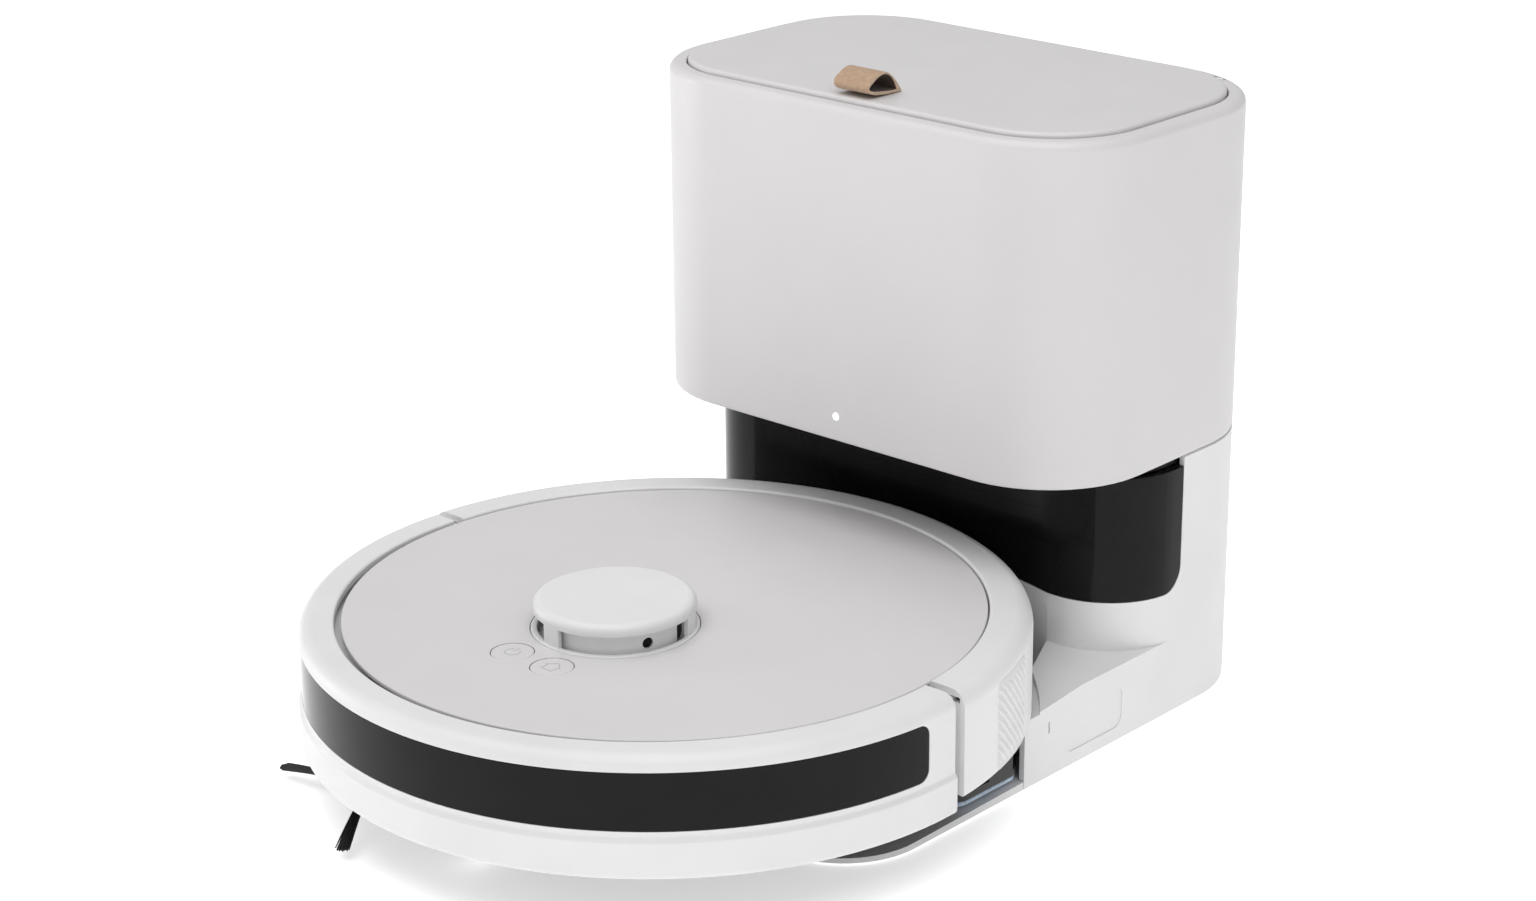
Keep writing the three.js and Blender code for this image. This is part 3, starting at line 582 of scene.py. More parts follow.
def housing():
    rim = HOUSING_TOP - 7.4
    profile = rounded([
        (45, HOUSING_BOTTOM, 0), (0, HOUSING_BOTTOM, 1.5), (0, HOUSING_TOP, 4.5), (8.7, HOUSING_TOP, 0.9),
        (8.7, rim, 0), (14, rim, 0.6), (14, rim - 3.1, 0), (WALL, rim - 3.1, 0),
        (WALL, HOUSING_BOTTOM + WALL, 0),
        (45, HOUSING_BOTTOM + WALL, 0)], 6)
    shell = stack("housing_shell", housing_plan, profile, "joined")
    y, z = HINGE
    tools = [rod("light_hole", (0, FRONT - 5, 150), (0, FRONT + 8, 150), 1.9, 48),
             rod("hinge_relief", (-103, y, z), (103, y, z), 3.4, 48),
             rod("hinge_bore", (-110, y, z), (110, y, z), 1.5, 24)]
    settle(cut(shell, *tools), "dock", WARM, ["upper_housing"])


def lid():
    profile = rounded([(50, lid_low.z, 0), (9.4, lid_low.z, 0.6), (9.4, lid_high.z, 2.3),
        (50, lid_high.z, 0)], 6, False)
    plate = stack("lid_plate", housing_plan, profile)
    y, z = HINGE
    bores = [rod("bore", (side * 87, y, z), (side * 112, y, z), 1.5, 24) for side in (-1, 1)]
    settle(cut(plate, *bores), "lid", WARM, ["lid"])
    liner_low, liner_high = span("lid_liner")
    edge = rounded([(50, liner_low.z, 0), (20, liner_low.z, 1.2), (20, liner_high.z, 0)], 4, False)
    inner = stack("lid_inner", housing_plan, edge)
    wells = []
    for x in (-62, 0, 62):
        wells.append(prism("well", rounded([(x - 26, 40, 6), (x + 26, 40, 6), (x + 26, 130, 6),
            (x - 26, 130, 6)]),
                           liner_low.z - 1, liner_low.z + 2))
    settle(bevelled(cut(inner, *wells), 0.5), "lid", GREY, ["lid_liner"])


def bezier(a, b, c, d, steps):
    return [((1 - t) ** 3 * np.array(a) + 3 * (1 - t) ** 2 * t * np.array(b) + 3 * (1 - t) * t * t
        * np.array(c)
             + t ** 3 * np.array(d)) for t in np.linspace(0, 1, steps, False)]


def strap_line(offset):
    """The folded strap's side view, moved in from its outer face by offset."""
    low_corner, high_corner = span("pull_tab")
    low, back, front, rise = low_corner.z, high_corner.y, high_corner.y - 26, 12
    tip = (back - 2.4 * offset, low + 0.9 * offset)
    top = (front + 4 + 0.3 * offset, low + rise - 2.5 - offset)
    foot = (front + 8, low + 1 + offset)
    return [
        *bezier(tip, (back - 8, low + rise - 0.4 * offset), (front + 12, low + rise + 2.6 - offset), top, 20),
        *bezier(top, (front + offset - 2.2, low + rise - 5 - offset),
        (front + offset - 1, low + 2 + offset), foot, 14),
        *bezier(foot, (front + 13, low + 0.5 + offset), (back - 12, low + offset), tip, 14),
    ]


def pull_tab():
    """A leather strap folded over and joined at its pointed back, with suede inside and pale cut edges."""
    low, high = span("pull_tab")
    width, centre = high.x - low.x, (high.x + low.x) / 2
    outer, inner = strap_line(0.0), strap_line(1.9)
    columns = np.linspace(-width / 2, width / 2, 9)
    rings = []
    for (y0, z0), (y1, z1) in zip(outer, inner):
        ring = [(centre + x, y0, z0) for x in columns]
        ring += [(centre + x, y1, z1) for x in reversed(columns)]
        rings.append(ring)
    strap = loft("pull_strap", rings, "joined")
    size = len(rings[0])
    last = len(columns) - 1
    faces = np.arange(len(strap.data.polygons)) % size
    finish_of = np.where(faces < last, 0, np.where(faces == last, 2, np.where(faces == size - 1, 2, 1)))
    for finish in (TAN, SUEDE, LEATHER_EDGE):
        strap.data.materials.append(finish)
    strap.data.polygons.foreach_set("material_index", finish_of.astype(np.int32))
    bevelled(strap, 0.45, 2, 55)
    settle(strap, "lid", TAN, ["pull_tab"], 60)


housing()
lid()
pull_tab()


# ---- Dock: lower body, panel, tray ----
body_low, body_high = span("lower_body")
tray_low, tray_high = span("base_tray")
COLUMN_TOP = panel_high.z
ARM_FRONT = body_low.y
ARM_TOP = 41.0


def neck():
    neck_low, neck_high = span("neck")
    ring = stack("neck_band", column_plan, [(5, neck_low.z), (5, neck_high.z)])
    duct_low, duct_high = span("suction_duct")
    motor_low, motor_high = span("suction_motor")
    x, y = (motor_low.x + motor_high.x) / 2, (motor_low.y + motor_high.y) / 2
    openings = [block("duct_room", (duct_low.x - 0.3, ROBOT.y + 256, 120),
        (duct_high.x + 0.3, duct_high.y + 0.3, 150)),
                drum("air_hole", Vector((x, y)), 24, 120, 150)]
    # The neck's black is painted shade: it sits in the recess under the housing, which is dark by shadow.
    settle(cut(ring, *openings), "dock", BLACK, ["neck"])


def panel_path(extra=0.0):
    return [p[:2] for p in column_front(panel_high.y + extra)]


def dock_body():
    y0 = ROBOT.y
    body = stack("dock_column", column_plan, [(0, body_low.z), (0, body_high.z)])
    arms = slab("arms", [(ARM_FRONT, body_low.z), (ARM_FRONT, 34), (ARM_FRONT + 4, 37), (y0 + 140, ARM_TOP),
                         (y0 + 230, ARM_TOP), (y0 + 230, body_low.z)], -HALF, HALF)
    step = block("step", (-200, -100, COLUMN_TOP), (200, panel_high.y + 0.3, 200))
    cut(fused(body, arms), step)
    bevelled(body, 2.4, 4, 50)
    mouth = [*[p[:2] for p in pocket_line(0.05)], (115, y0 + 136), (115, y0 + 80), (-115, y0 + 80),
        (-115, y0 + 136)]
    cut(body, prism("mouth", mouth, -5, 60), drum("well", ROBOT, 170, -5, 60, 0, 192),
        drum("shoulder", ROBOT, 179, 36.5, 60, 0, 192))
    bevelled(body, 0.5, 2, 50)
    recess = band("recess", panel_path(0.3), panel_low.z - 0.3, COLUMN_TOP + 4, (PANEL_CORNER + 0.3, 0),
        3.3, 2.0)
    hollow = stack("hollow", column_plan, [(WALL, 11), (WALL, body_high.z + 1)])
    under = prism("under", rectangle(HALF - 3.1, ARM_FRONT - 8, BACK - 3.1, 0.5, 58.3), -3, 8.3)
    holes = [block("port", (-23, 100, 42), (23, 135, 58)), block("grille", (40, 231, 60), (110, 246, 100)),
             block("socket", (-103, 231, 22), (-77, 246, 42))]
    holes += [rod("pin_hole", (x, 100, 50), (x, 135, 50), 3.4, 32) for x in (-36, 36)]
    for side in (-1, 1):
        outline = rounded([(y0 + 127, 8, 6), (y0 + 173, 8, 6), (y0 + 173, 30, 6), (y0 + 127, 30, 6)], 6)
        near, far = sorted((side * (HALF - 0.5), side * (HALF + 2)))
        holes.append(slab("grip", outline, near, far))
        slit = [(y0 + 113.4, 24), (y0 + 114.6, 24), (y0 + 114.6, 30), (y0 + 113.4, 30)]
        near, far = sorted((side * (HALF - 1.5), side * (HALF + 2)))
        holes.append(slab("slit", slit, near, far))
    cut(body, recess, hollow, under, *holes)
    settle(body, "dock", WHITE, ["lower_body"], 32)
    panel = band("gloss_panel", panel_path(), panel_low.z, COLUMN_TOP, (PANEL_CORNER, 0), 3)
    settle(bevelled(panel, 0.5, 2, 50), "dock", GLOSS, ["front_panel"])


def tray():
    y0 = ROBOT.y
    corner = 43.0
    front = prism("front", rectangle(HALF, tray_low.y, ARM_FRONT - 0.3, corner, 0.5), tray_low.z, 12)
    rear = prism("rear", rectangle(HALF - 3.4, ARM_FRONT - 5, BACK - 3.4, 0.5, 58), tray_low.z, 12)
    fall = (tray_high.z - 4) / (tray_high.y - y0)
    near, far = -140, 280
    sky = slab("sky", [(near, 4 + fall * (near - y0)), (far, 4 + fall * (far - y0)), (far, 40), (near, 40)],
        -200, 200)
    lip = slab("lip", [(tray_low.y - 10, 1.9), (tray_low.y, 1.9), (tray_low.y + 14, 12),
        (tray_low.y - 10, 12)],
               -200, 200)
    wells = []
    for number in range(1, 5):
        low, high = span(f"foot_{number}")
        wells.append(drum("foot_well", (low + high).xy / 2, 9.4, -2, 2.2))
    tracks = [block("track", (side * 114 - 13, y0 - 12, 3.6), (side * 114 + 13, y0 + 40, 12))
        for side in (-1, 1)]
    plate = cut(fused(front, rear), sky, lip, *wells, *tracks)
    plate.name = "tray_plate"
    settle(bevelled(plate, 0.3, 2, 50), "dock", WHITE, ["base_tray"])


def inlet_pins():
    low, high = span("power_inlet")
    z = (low.z + high.z) / 2
    centre = (low.x + high.x) / 2
    pins = [rod("inlet_pin", (centre + dx, high.y - 13, z), (centre + dx, high.y - 3, z), 1.2)
        for dx in (-3.5, 3.5)]
    settle(bevelled(joined(pins[0], pins[1]), 0.5, 2, 50), "dock", BRASS)


def rear_groove_shade():
    """A pale grey ring in the gap between the lower body's rear wall and the housing: painted shade of the
    groove there.
    """
    ring = stack("rear_groove_shade", column_plan, [(3, body_high.z + 0.04), (0.7, body_high.z + 0.04),
                                            (0.7, HOUSING_BOTTOM - 0.04),
                                            (3, HOUSING_BOTTOM - 0.04)], "joined")
    cut(ring, block("ahead", (-200, -100, 100), (200, panel_high.y + 0.6, 200)))
    # Painted shade: the grey ring stands for the groove's shade.
    settle(ring, "dock", GROOVE_SHADE_GREY)


neck()
dock_body()
rear_groove_shade()
tray()
inlet_pins()


# ---- Dock: the dust bag ----
def puffed(piece, pressure, most):
    """Inflates a closed fabric shell by cloth simulation. No point moves further than most millimetres."""
    before = np.array([v.co[:] for v in piece.data.vertices])
    fabric = piece.modifiers.new("cloth", "CLOTH")
    fabric.settings.use_pressure = True
    fabric.settings.uniform_pressure_force = pressure
    fabric.settings.effector_weights.gravity = 0
    fabric.settings.quality = 4
    scene = bpy.context.scene
    for number in range(1, 21):
        scene.frame_set(number)
    shape = piece.evaluated_get(bpy.context.evaluated_depsgraph_get())
    after = np.array([v.co[:] for v in shape.data.vertices])
    piece.modifiers.clear()
    scene.frame_set(1)
    move = after - before
    far = np.linalg.norm(move, axis=1, keepdims=True)
    move *= np.minimum(1, most * MM / np.maximum(far, 1e-9))
    piece.data.vertices.foreach_set("co", (before + move).ravel())
    piece.data.update()
    return piece


def dust_bag():
    low, high = span("dust_bag")
    inset = 5.0
    x0, x1 = low.x + inset, high.x - inset
    y0, y1 = low.y + inset, high.y - 3.0
    z0, z1 = low.z + inset, high.z - inset
    rings = []
    for t in np.linspace(0, 1, 15):
        z = z0 + (z1 - z0) * t
        squeeze = 9 * abs(2 * t - 1) ** 3
        rings.append([(x, y, z) for x, y in rectangle((x1 - x0) / 2 - squeeze * 0.6, y0 + squeeze,
            y1 - squeeze * 0.4,
                                                      20, 14, 0, 8)])
    bag = loft("dust_bag_fleece", rings)
    remesh = bag.modifiers.new("even", "REMESH")
    remesh.mode = "VOXEL"
    remesh.voxel_size = 5 * MM
    baked(bag)
    puffed(bag, 4, 5)
    for vertex in bag.data.vertices:
        place = vertex.co / MM
        crease = noise.fractal(place / 26, 0.7, 2.0, 3)
        seam = math.exp(-((place.x / 2.2) ** 2))
        vertex.co += vertex.normal * (crease * 1.6 - seam * 1.8) * MM
    finer = bag.modifiers.new("finer", "SUBSURF")
    finer.levels = finer.render_levels = 1
    baked(bag)
    wall = high.y - 0.4
    for vertex in bag.data.vertices:
        vertex.co.y = min(vertex.co.y, wall * MM)
        vertex.co.z = min(max(vertex.co.z, low.z * MM), high.z * MM)
        vertex.co.x = min(max(vertex.co.x, low.x * MM), high.x * MM)
    settle(bag, "dock", BAG, ["dust_bag"], 60)


dust_bag()


# ---- Robot: bumper, window, shell and plate ----
def along_front(degrees, radius, steps=160):
    limit = math.radians(degrees)
    return [polar(radius, a) for a in np.linspace(-limit, limit, steps)]


def window_band(name, margin, depth, lift):
    low, high = span("bumper_window")
    radius = SHELL_RADIUS - 1.6
    degrees = 86 + math.degrees(margin / radius)
    corner = 5.5 + margin
    return band(name, along_front(degrees, radius), low.z - margin, high.z + margin, (corner, corner),
        depth, lift)


def bumper():
    end = bumper_high.y - ROBOT.y
    profile = rounded([
        (157, 85.5, 0.3), (157, RIM_TOP, 1.2), (173.5, RIM_TOP, 7), (173.5, 51.5, 1.5), (175, 49.5, 1.5),
        (175, 31.5, 2.5), (170, 31.5, 0.8), (170, 85.5, 1)], 5)

    def limits(radius):
        reach = math.pi / 2 + math.asin(end / radius)
        return -reach, reach

    shell = turned("bumper_shell", profile, ROBOT, limits, 220)
    for vertex in shell.data.vertices:
        out = vertex.co.xy / MM - ROBOT
        if out.length < 162 and vertex.co.z > 84 * MM:
            vertex.co.xy += out.normalized() * (1.9 * -out.normalized().y - 1.8) * MM
    settle(cut(shell, window_band("pocket", 0.3, 1.8, 2.0)), "bumper", WHITE, ["bumper"], 35)
    window = bevelled(window_band("sensor_window", 0, 1.4, 0), 0.35, 2, 50)
    settle(window, "bumper", GLOSS, ["bumper_window"])


def ridges(side):
    """Fine slanting ridges over the fan's outlet on one side of the shell."""
    start, end = math.radians(103.5), math.radians(116.0)
    radius, low, high = SHELL_RADIUS - 0.05, 39.5, 81.5
    pitch, slope, width, height = 5.0, -1.0, 2.9, 1.0
    reach = (end - start) * radius
    pieces = []
    first = low
    for number in range(int((high - low + reach) / pitch) + 1):
        base = first + number * pitch
        path = []
        for s in np.linspace(0, reach, 25):
            z = base + s * slope
            if low <= z <= high:
                path.append((s, z))
        if len(path) < 4:
            continue
        rings = []
        for k, (s, z) in enumerate(path):
            thin = min(1.0, (min(k, len(path) - 1 - k) + 0.25) / 2)
            angle = start + s / radius
            ring = []
            for across, out in ((-1, -0.3), (-0.55, height), (0.55, height), (1, -0.3)):
                x, y = polar(radius + max(out, -0.3) * (thin if out > 0 else 1), side * angle)
                ring.append((x, y, z + across * width / 2 * thin))
            rings.append(ring)
        pieces.append(loft("ridge", rings))
    hand = "left" if side < 0 else "right"
    vent = joined(*pieces)
    vent.name = "side_vent_" + hand
    settle(vent, "robot", WHITE, (), 50)
    angles = np.linspace(start, end, 25) if side > 0 else -np.linspace(end, start, 25)
    # A grey patch under the ridges: painted shade in the grooves between them.
    shade_patch = band("vent_painted_shade_" + hand, [polar(SHELL_RADIUS, a) for a in angles], low - 1, high + 1,
        (3, 3), 0.4, 0.08)
    settle(shade_patch, "robot", GROOVE_SHADE_GREY)


def upper_shell():
    low, _ = span("upper_shell")
    y0 = ROBOT.y
    front = 11.0
    profile = rounded([
        (154.3, 78.5, 0), (154.3, RIM_TOP, 1.4), (SHELL_RADIUS, RIM_TOP, 8), (SHELL_RADIUS, low.z, 1),
        (172, low.z, 0.5), (172, 86, 1), (157.3, 86, 0), (157.3, 78.5, 0)], 6)

    def limits(radius):
        start = math.acos(-front / radius)
        return start, 2 * math.pi - start

    rear = turned("shell_ring", profile, ROBOT, limits, 220)
    holes = [block("outlet", (-24, y0 + 160, 41), (24, y0 + 185, 59))]
    holes += [block("pad_hole", (x - 6, y0 + 160, 43), (x + 6, y0 + 185, 57)) for x in (-36, 36)]
    cut(rear, *holes)
    deck = drum("deck", ROBOT, 165, 78.5, 81.5, 0, 128)
    turret_hole = drum("turret_hole", Vector((0, y0 - 34)), 41.2, 70, 90)
    fused(rear, cut(deck, turret_hole))
    for side in (-1, 1):
        for start, end, inner, outer, base, top in ((-2, 14, 166, 169.4, low.z, 83),
            (11.4, 14, 166, 173, low.z, 83),
                                                    (-2, 14, 157.8, 167.5, 81, 85.2)):
            strip = turned("strip", [(inner, base), (outer, base), (outer, top), (inner, top)], ROBOT,
                           lambda radius: sorted(side * (math.pi / 2 + math.asin(y / radius))
                               for y in (start, end)), 8)
            fused(rear, strip)
    settle(rear, "robot", WHITE, ["upper_shell"], 35)
    for side in (-1, 1):
        ridges(side)


def top_plate():
    plate = drum("cover_plate", ROBOT, PLATE_RADIUS, plate_low.z, plate_high.z, 0.8, 240)
    tools = [drum("turret_gap", TURRET_AXIS, 40.2, 80, 92, 0, 128)]
    tools += [drum("button_gap", centre, 10.4, 80, 92, 0, 96) for centre in BUTTONS.values()]
    settle(bevelled(cut(plate, *tools), 0.25, 2, 60), "robot", WARM, ["top_plate"])


turret_low, turret_high = span("turret_cover")
TURRET_AXIS = (turret_low + turret_high).xy / 2
WELL_RADIUS, WELL_INNER = 39.8, 36.4
EYE_HEIGHT = 91.5
BUTTONS = {}
for key in ("power_button", "home_button"):
    key_low, key_high = span(key)
    BUTTONS[key] = (key_low + key_high).xy / 2


def wedge(name, centre, start, end, z0, z1, radius=60.0):
    """A slice of a disc between two angles in degrees, measured from +X."""
    outline = [tuple(centre)]
    for a in np.radians(np.linspace(start, end, 12)):
        outline.append((centre.x + radius * math.cos(a), centre.y + radius * math.sin(a)))
    return prism(name, outline, z0, z1)


def turret():
    cup = turned("turret_cap", rounded([
        (36.3, 84.2, 0), (38.5, 84.2, 0), (38.5, turret_high.z, 4.2), (0, turret_high.z, 0),
        (0, turret_high.z - 2.2, 0), (36.3, turret_high.z - 2.2, 2)], 7), TURRET_AXIS, None, 128)
    windows = [wedge("opening", TURRET_AXIS, -88 + 120 * k, 16 + 120 * k, 80, 98) for k in range(3)]
    cut(cup, *windows)
    lip = turned("lip", rounded([
        (4.4, turret_low.z, 0), (WELL_RADIUS, turret_low.z, 0.3), (WELL_RADIUS, plate_high.z + 0.5, 0.9),
        (WELL_INNER, plate_high.z + 0.5, 0.9), (WELL_INNER, 84, 0.5),
        (4.4, 84, 0)], 4), TURRET_AXIS, None, 128)
    bevelled(fused(cup, lip), 0.3, 2, 55)
    settle(cup, "robot", WHITE, ["turret_cover"], 35)


def rotor():
    low, high = span("lidar_rotor")
    core = turned("rotor_core", rounded([
        (0, low.z + 4.4, 0), (31, low.z + 4.4, 0.6), (31, high.z - 0.8, 0.8), (0, high.z - 0.8, 0)], 3),
        TURRET_AXIS, None, 96)
    stem = drum("stem", TURRET_AXIS, 4, low.z, low.z + 6)
    settle(fused(core, stem), "lidar_rotor", BLACK, ["lidar_rotor"])
    start, end = math.radians(-6), math.radians(102)
    profile = rounded([(31.2, 84.6, 0.4), (34, 84.6, 0.4), (34, high.z, 0.8), (31.2, high.z, 0.4)], 3)
    fairing = turned("rotor_fairing", profile, TURRET_AXIS, lambda radius: (start, end), 60)
    eye = math.radians(71)
    (x0, y0), (x1, y1) = polar(30, eye, TURRET_AXIS), polar(40, eye, TURRET_AXIS)
    cut(fairing, rod("eye_hole", (x0, y0, EYE_HEIGHT), (x1, y1, EYE_HEIGHT), 2.7, 32))
    # The fairing takes the lighter white, painted light where the cap shades it.
    settle(bevelled(fairing, 0.2, 2, 60), "lidar_rotor", WHITE_WITH_PAINTED_LIGHT)
    (x0, y0), (x1, y1) = polar(31.1, eye, TURRET_AXIS), polar(33.4, eye, TURRET_AXIS)
    glass = rod("rotor_lens", (x0, y0, EYE_HEIGHT), (x1, y1, EYE_HEIGHT), 2.5, 32)
    settle(bevelled(glass, 0.8, 3, 60), "lidar_rotor", GLOSS)


def stroke(name, points, width, z, height=0.1):
    """A flat line through plan points. The grey it is given stands for an engraved line, as painted shade."""
    line = np.array(points, float)
    tangent = np.gradient(line, axis=0)
    tangent /= np.linalg.norm(tangent, axis=1)[:, None]
    side = np.stack([-tangent[:, 1], tangent[:, 0]], 1) * width / 2
    rings = []
    for (x, y), (dx, dy) in zip(line, side):
        rings.append([(x + dx, y + dy, z), (x - dx, y - dy, z), (x - dx, y - dy, z + height),
                      (x + dx, y + dy, z + height)])
    return loft(name, rings)


def arc(centre, radius, start, end, steps=48):
    return [(centre.x + radius * math.cos(a), centre.y + radius * math.sin(a))
            for a in np.radians(np.linspace(start, end, steps))]


def straight(a, b):
    return [tuple(Vector(a).lerp(Vector(b), t)) for t in (0, 0.5, 1)]


def buttons():
    for key, centre in BUTTONS.items():
        low, high = span(key)
        cap = drum(key + "_cap", centre, 10, low.z, high.z - 0.1, 0.5, 96)
        settle(cap, key, WARM, [key])
        z = high.z - 0.13
        if key == "power_button":
            marks = [stroke("mark", arc(centre, 3.6, 122, 418), 0.55, z),
                     stroke("mark", straight((centre.x, centre.y + 1.2), (centre.x, centre.y + 5)), 0.55, z)]
        else:
            roof = [(-4.6, 0.4), (0, 4.6), (4.6, 0.4)]
            wall = [(-3.2, 1.0), (-3.2, -3.8), (3.2, -3.8), (3.2, 1.0)]
            marks = []
            for shape in (roof, wall):
                for (ax, ay), (bx, by) in zip(shape, shape[1:]):
                    marks.append(stroke("mark", straight((centre.x + ax, centre.y + ay),
                                                         (centre.x + bx, centre.y + by)), 0.55, z))
        icon = joined(*marks)
        icon.name = key + "_icon"
        # The icon's pale grey is painted shade in engraved lines.
        settle(icon, key, PALE_GREY_AND_ENGRAVING_SHADE)
    # The grey ring round both buttons is painted shade of an engraved outline.
    outline = [
        stroke("mark", arc(BUTTONS["power_button"], 13.6, 20, 340, 96), 0.35, plate_high.z - 0.03, 0.06),
        stroke("mark", arc(BUTTONS["home_button"], 13.6, -160, 160, 96), 0.35, plate_high.z - 0.03, 0.06)]
    border = joined(*outline)
    border.name = "button_border"
    settle(border, "robot", GROOVE_SHADE_GREY)


bumper()
upper_shell()
top_plate()
turret()
rotor()
buttons()


# ---- Robot: underside ----
def upright_to_axle(piece, centre):
    """Lays a shape that was turned about Z on its side, so that it turns about X through centre."""
    turn = Matrix.Rotation(math.pi / 2, 4, "Y")
    piece.data.transform(Matrix.Translation(Vector(centre) * MM) @ turn)
    return piece


def tyre(hand):
    low, high = span("tyre_" + hand)
    centre = (low + high) / 2
    radius, half = (high.z - low.z) / 2, (high.x - low.x) / 2
    lugs, per_lug = 30, 6
    rings = []
    for i in range(lugs * per_lug):
        ring = []
        for x, drop in ((-1, 3.2), (-0.92, 0.6), (-0.75, 0), (-0.1, 0), (0, 0), (0.1, 0), (0.75, 0),
            (0.92, 0.6), (1, 3.2)):
            phase = (i / per_lug + abs(x) * 0.9) % 1.0
            tread = 0.0 if phase < 0.62 else 1.7
            a = 2 * math.pi * i / (lugs * per_lug)
            r = radius - drop - tread
            ring.append((r * math.cos(a), r * math.sin(a), x * half))
        a = 2 * math.pi * i / (lugs * per_lug)
        for x in (1, -1):
            ring.append((24 * math.cos(a), 24 * math.sin(a), x * half))
        rings.append(ring)
    tread = loft("tread_" + hand, rings, "joined")
    settle(upright_to_axle(tread, centre), "wheel_" + hand, TYRE, ["tyre_" + hand], 30)


def caster():
    low, high = span("caster_wheel")
    centre = (low + high) / 2
    radius, half = (high.z - low.z) / 2, (high.x - low.x) / 2
    profile = rounded([(2.3, -half, 0), (radius, -half, 1.6), (radius, half, 1.6), (2.3, half, 0)], 5)
    roller = turned("caster_roller", profile, Vector((0, 0)), None, 64)
    settle(upright_to_axle(roller, centre), "caster_wheel", WHITE, ["caster_wheel"])


def main_brush():
    """A rubber roller whose six blades wind towards its middle."""
    low, high = span("roller_brush")
    y, z = (low.y + high.y) / 2, (low.z + high.z) / 2
    half, core, tip = high.x, 8.0, (high.z - low.z) / 2
    blades, steps = 6, 61
    outline = []
    for blade in range(blades):
        base = 2 * math.pi * blade / blades
        for turn, radius in ((-0.34, core), (-0.17, core), (-0.10, core + 2), (-0.05, tip), (0.05, tip),
            (0.10, core + 2),
                             (0.17, core), (0.34, core)):
            outline.append((base + turn, radius))
    rings = []
    for x in np.linspace(-half, half, steps):
        wind = 1.1 * abs(x) / half
        end = half - abs(x) < 3
        rings.append([(x, y + (core if end else r) * math.sin(a + wind), z + (core if end else r)
            * math.cos(a + wind))
                      for a, r in outline])
    brush = loft("winding_brush", rings)
    settle(brush, "roller_brush", TYRE, ["roller_brush"], 35)


def side_brush():
    """Three tufts of stiff bristles on a hub. They spread and droop towards their tips."""
    _, high = span("side_brush")
    centre = Vector((-80, ROBOT.y - 121))
    hub = turned("tuft_hub", rounded([
        (0, 8.6, 0), (9, 8.6, 1.2), (9, 16.7, 1.5), (3, 16.7, 0),
        (3, high.z, 0), (0, high.z, 0)], 4), centre, None, 48)
    clamps = []
    for k in range(3):
        heading = math.radians(66 + 120 * k)
        out = Vector((math.cos(heading), math.sin(heading)))
        start = centre + out * 4
        end = centre + out * 15
        clamps.append(rod("clamp", (*start, 12), (*end, 10.6), 2.6, 20))
    settle(bevelled(fused(hub, *clamps), 0.4, 2, 50), "side_brush", BLACK, ["side_brush"])
    shake = np.random.default_rng(4)
    hairs = []
    for k in range(3):
        heading = math.radians(66 + 120 * k)
        out = Vector((math.cos(heading), math.sin(heading)))
        across = Vector((-out.y, out.x))
        for j in range(30):
            fan = j / 14.5 - 1
            reach = 57.5 + shake.uniform(-1.4, 0.3) - 1.5 * fan * fan
            wobble = shake.uniform(-0.25, 0.25)
            lift = shake.uniform(-0.7, 0.7)
            points = []
            for t in np.linspace(0, 1, 7):
                place = centre + out * (12 + (reach - 12) * t) + across * (fan * (1.5 + 1.5 * t ** 1.4)
                    + wobble * t)
                points.append((*place, 10.6 + lift * (0.5 + 0.5 * t) - 4.6 * t ** 1.6))
            rings = []
            for n, (px, py, pz) in enumerate(points):
                r = 0.42 if n < 6 else 0.3
                rings.append([(px + across.x * r * c, py + across.y * r * c, pz + r * s)
                              for c, s in ((1, 0), (0, 1), (-1, 0), (0, -1))])
            hairs.append(loft("hair", rings))
    tuft = joined(*hairs)
    tuft.name = "bristle_tufts"
    settle(tuft, "side_brush", RUBBER, (), 70)


def mop_plan(inset):
    """Straight sides, round front corners and a back that follows the robot."""
    low, high = span("mop_pad")
    x, front, corner = high.x - inset, low.y + inset, max(1.0, 8.5 - inset)
    radius = 167.5 - inset
    start = math.pi / 2 + math.acos(min(1.0, x / radius))
    rear = [polar(radius, a) for a in np.linspace(start, 2 * math.pi - start, 97)]
    front_line = rounded([(-x, rear[-1][1], 0), (-x, front, corner), (x, front, corner),
        (x, rear[0][1], 0)], 10, False)
    return front_line[1:-1] + rear


def mop_pad():
    low, high = span("mop_pad")
    profile = [(40, low.z + 0.4), (26, low.z + 0.2), (14, low.z), (5, low.z), (2, low.z + 0.15),
        (0.7, low.z + 0.8),
               (0, low.z + 1.7), (0.4, high.z - 0.6), (1.6, high.z)]
    pad = stack("mop_pile", mop_plan, profile)
    for vertex in pad.data.vertices:
        place = vertex.co / MM
        lump = noise.noise(place / 2.4)
        vertex.co += Vector((lump, noise.noise(place / 2.1 + Vector((9, 0, 0))), 0)) * 0.4 * MM
    settle(pad, "robot", MOP_CLOTH, ["mop_pad"], 60)


for side_name in ("left", "right"):
    tyre(side_name)
caster()
main_brush()
side_brush()
mop_pad()


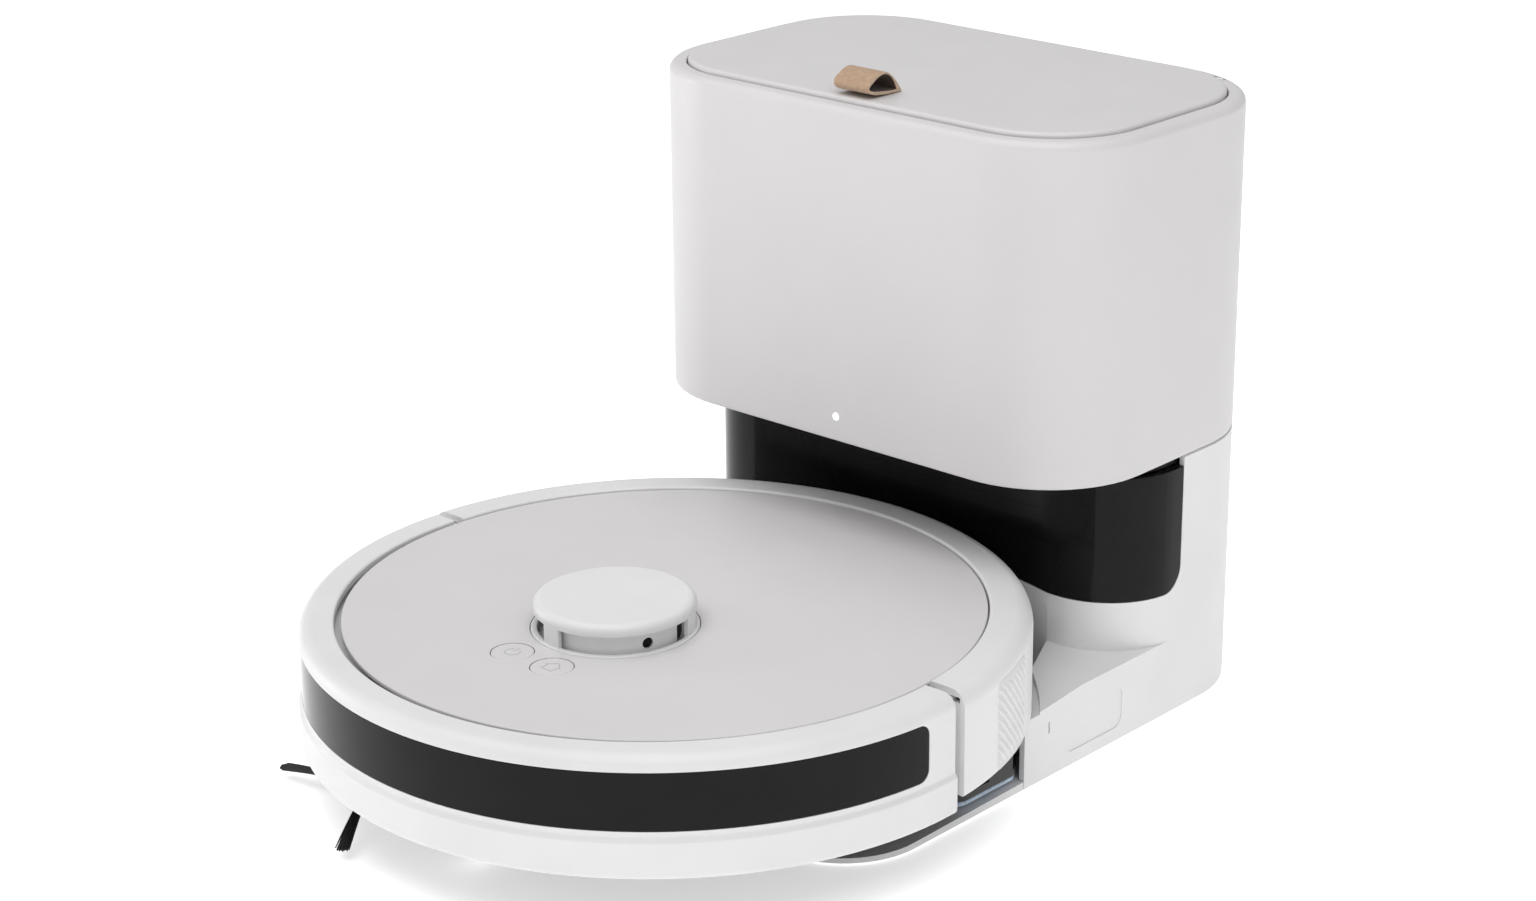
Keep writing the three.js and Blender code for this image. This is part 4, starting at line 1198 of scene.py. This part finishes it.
# ---- Stage, light and camera ----
def studio():
    bpy.ops.mesh.primitive_plane_add(size=14, location=(0, 0, 0))
    floor = bpy.context.object
    floor.name = "floor"
    paper = Finish("studio_paper", grey(0.93), 0.9, Emission_Color=(1, 1, 1, 1), Emission_Strength=0.56)
    paper.relief(paper.noise(4), 0.02)
    floor.data.materials.append(paper.material)

    world = bpy.data.worlds.new("studio")
    bpy.context.scene.world = world
    world.use_nodes = True
    nodes, links = world.node_tree.nodes, world.node_tree.links
    seen = nodes["Background"]
    seen.inputs["Color"].default_value = (1, 1, 1, 1)
    seen.inputs["Strength"].default_value = 1.0
    fill = nodes.new("ShaderNodeBackground")
    fill.inputs["Color"].default_value = (1, 1, 1, 1)
    fill.inputs["Strength"].default_value = 0.42
    rays = nodes.new("ShaderNodeLightPath")
    mix = nodes.new("ShaderNodeMixShader")
    links.new(rays.outputs["Is Camera Ray"], mix.inputs[0])
    links.new(fill.outputs[0], mix.inputs[1])
    links.new(seen.outputs[0], mix.inputs[2])
    links.new(mix.outputs[0], nodes["World Output"].inputs["Surface"])


def softbox(name, place, aim, width, height, power, spread=180):
    data = bpy.data.lights.new(name, "AREA")
    data.shape = "RECTANGLE"
    data.size, data.size_y = width, height
    data.energy = power
    data.spread = math.radians(spread)
    lamp = bpy.data.objects.new(name, data)
    lamp.location = place
    lamp.rotation_euler = (Vector(aim) - Vector(place)).to_track_quat("-Z", "Y").to_euler()
    bpy.context.scene.collection.objects.link(lamp)


def camera():
    data = bpy.data.cameras.new("camera")
    data.lens = 75.75
    data.sensor_width = 36
    data.shift_x = -0.0527
    data.clip_start, data.clip_end = 0.01, 50
    view = bpy.data.objects.new("camera", data)
    place, aim = Vector((0.9988, -1.0811, 0.6831)), Vector((0, 0.069, 0.1293))
    view.location = place
    view.rotation_euler = (aim - place).to_track_quat("-Z", "Y").to_euler()
    bpy.context.scene.collection.objects.link(view)
    bpy.context.scene.camera = view


studio()
softbox("key", (1.2, -0.9, 2.2), (0, 0, 0.1), 1.6, 1.2, 13)
softbox("top", (-0.2, -0.5, 2.4), (0, -0.1, 0), 2.4, 2.4, 32)
softbox("left_panel", (-1.6, -0.6, 0.35), (0, -0.1, 0.1), 0.3, 0.7, 5)
camera()
bpy.context.scene.view_settings.view_transform = "Standard"
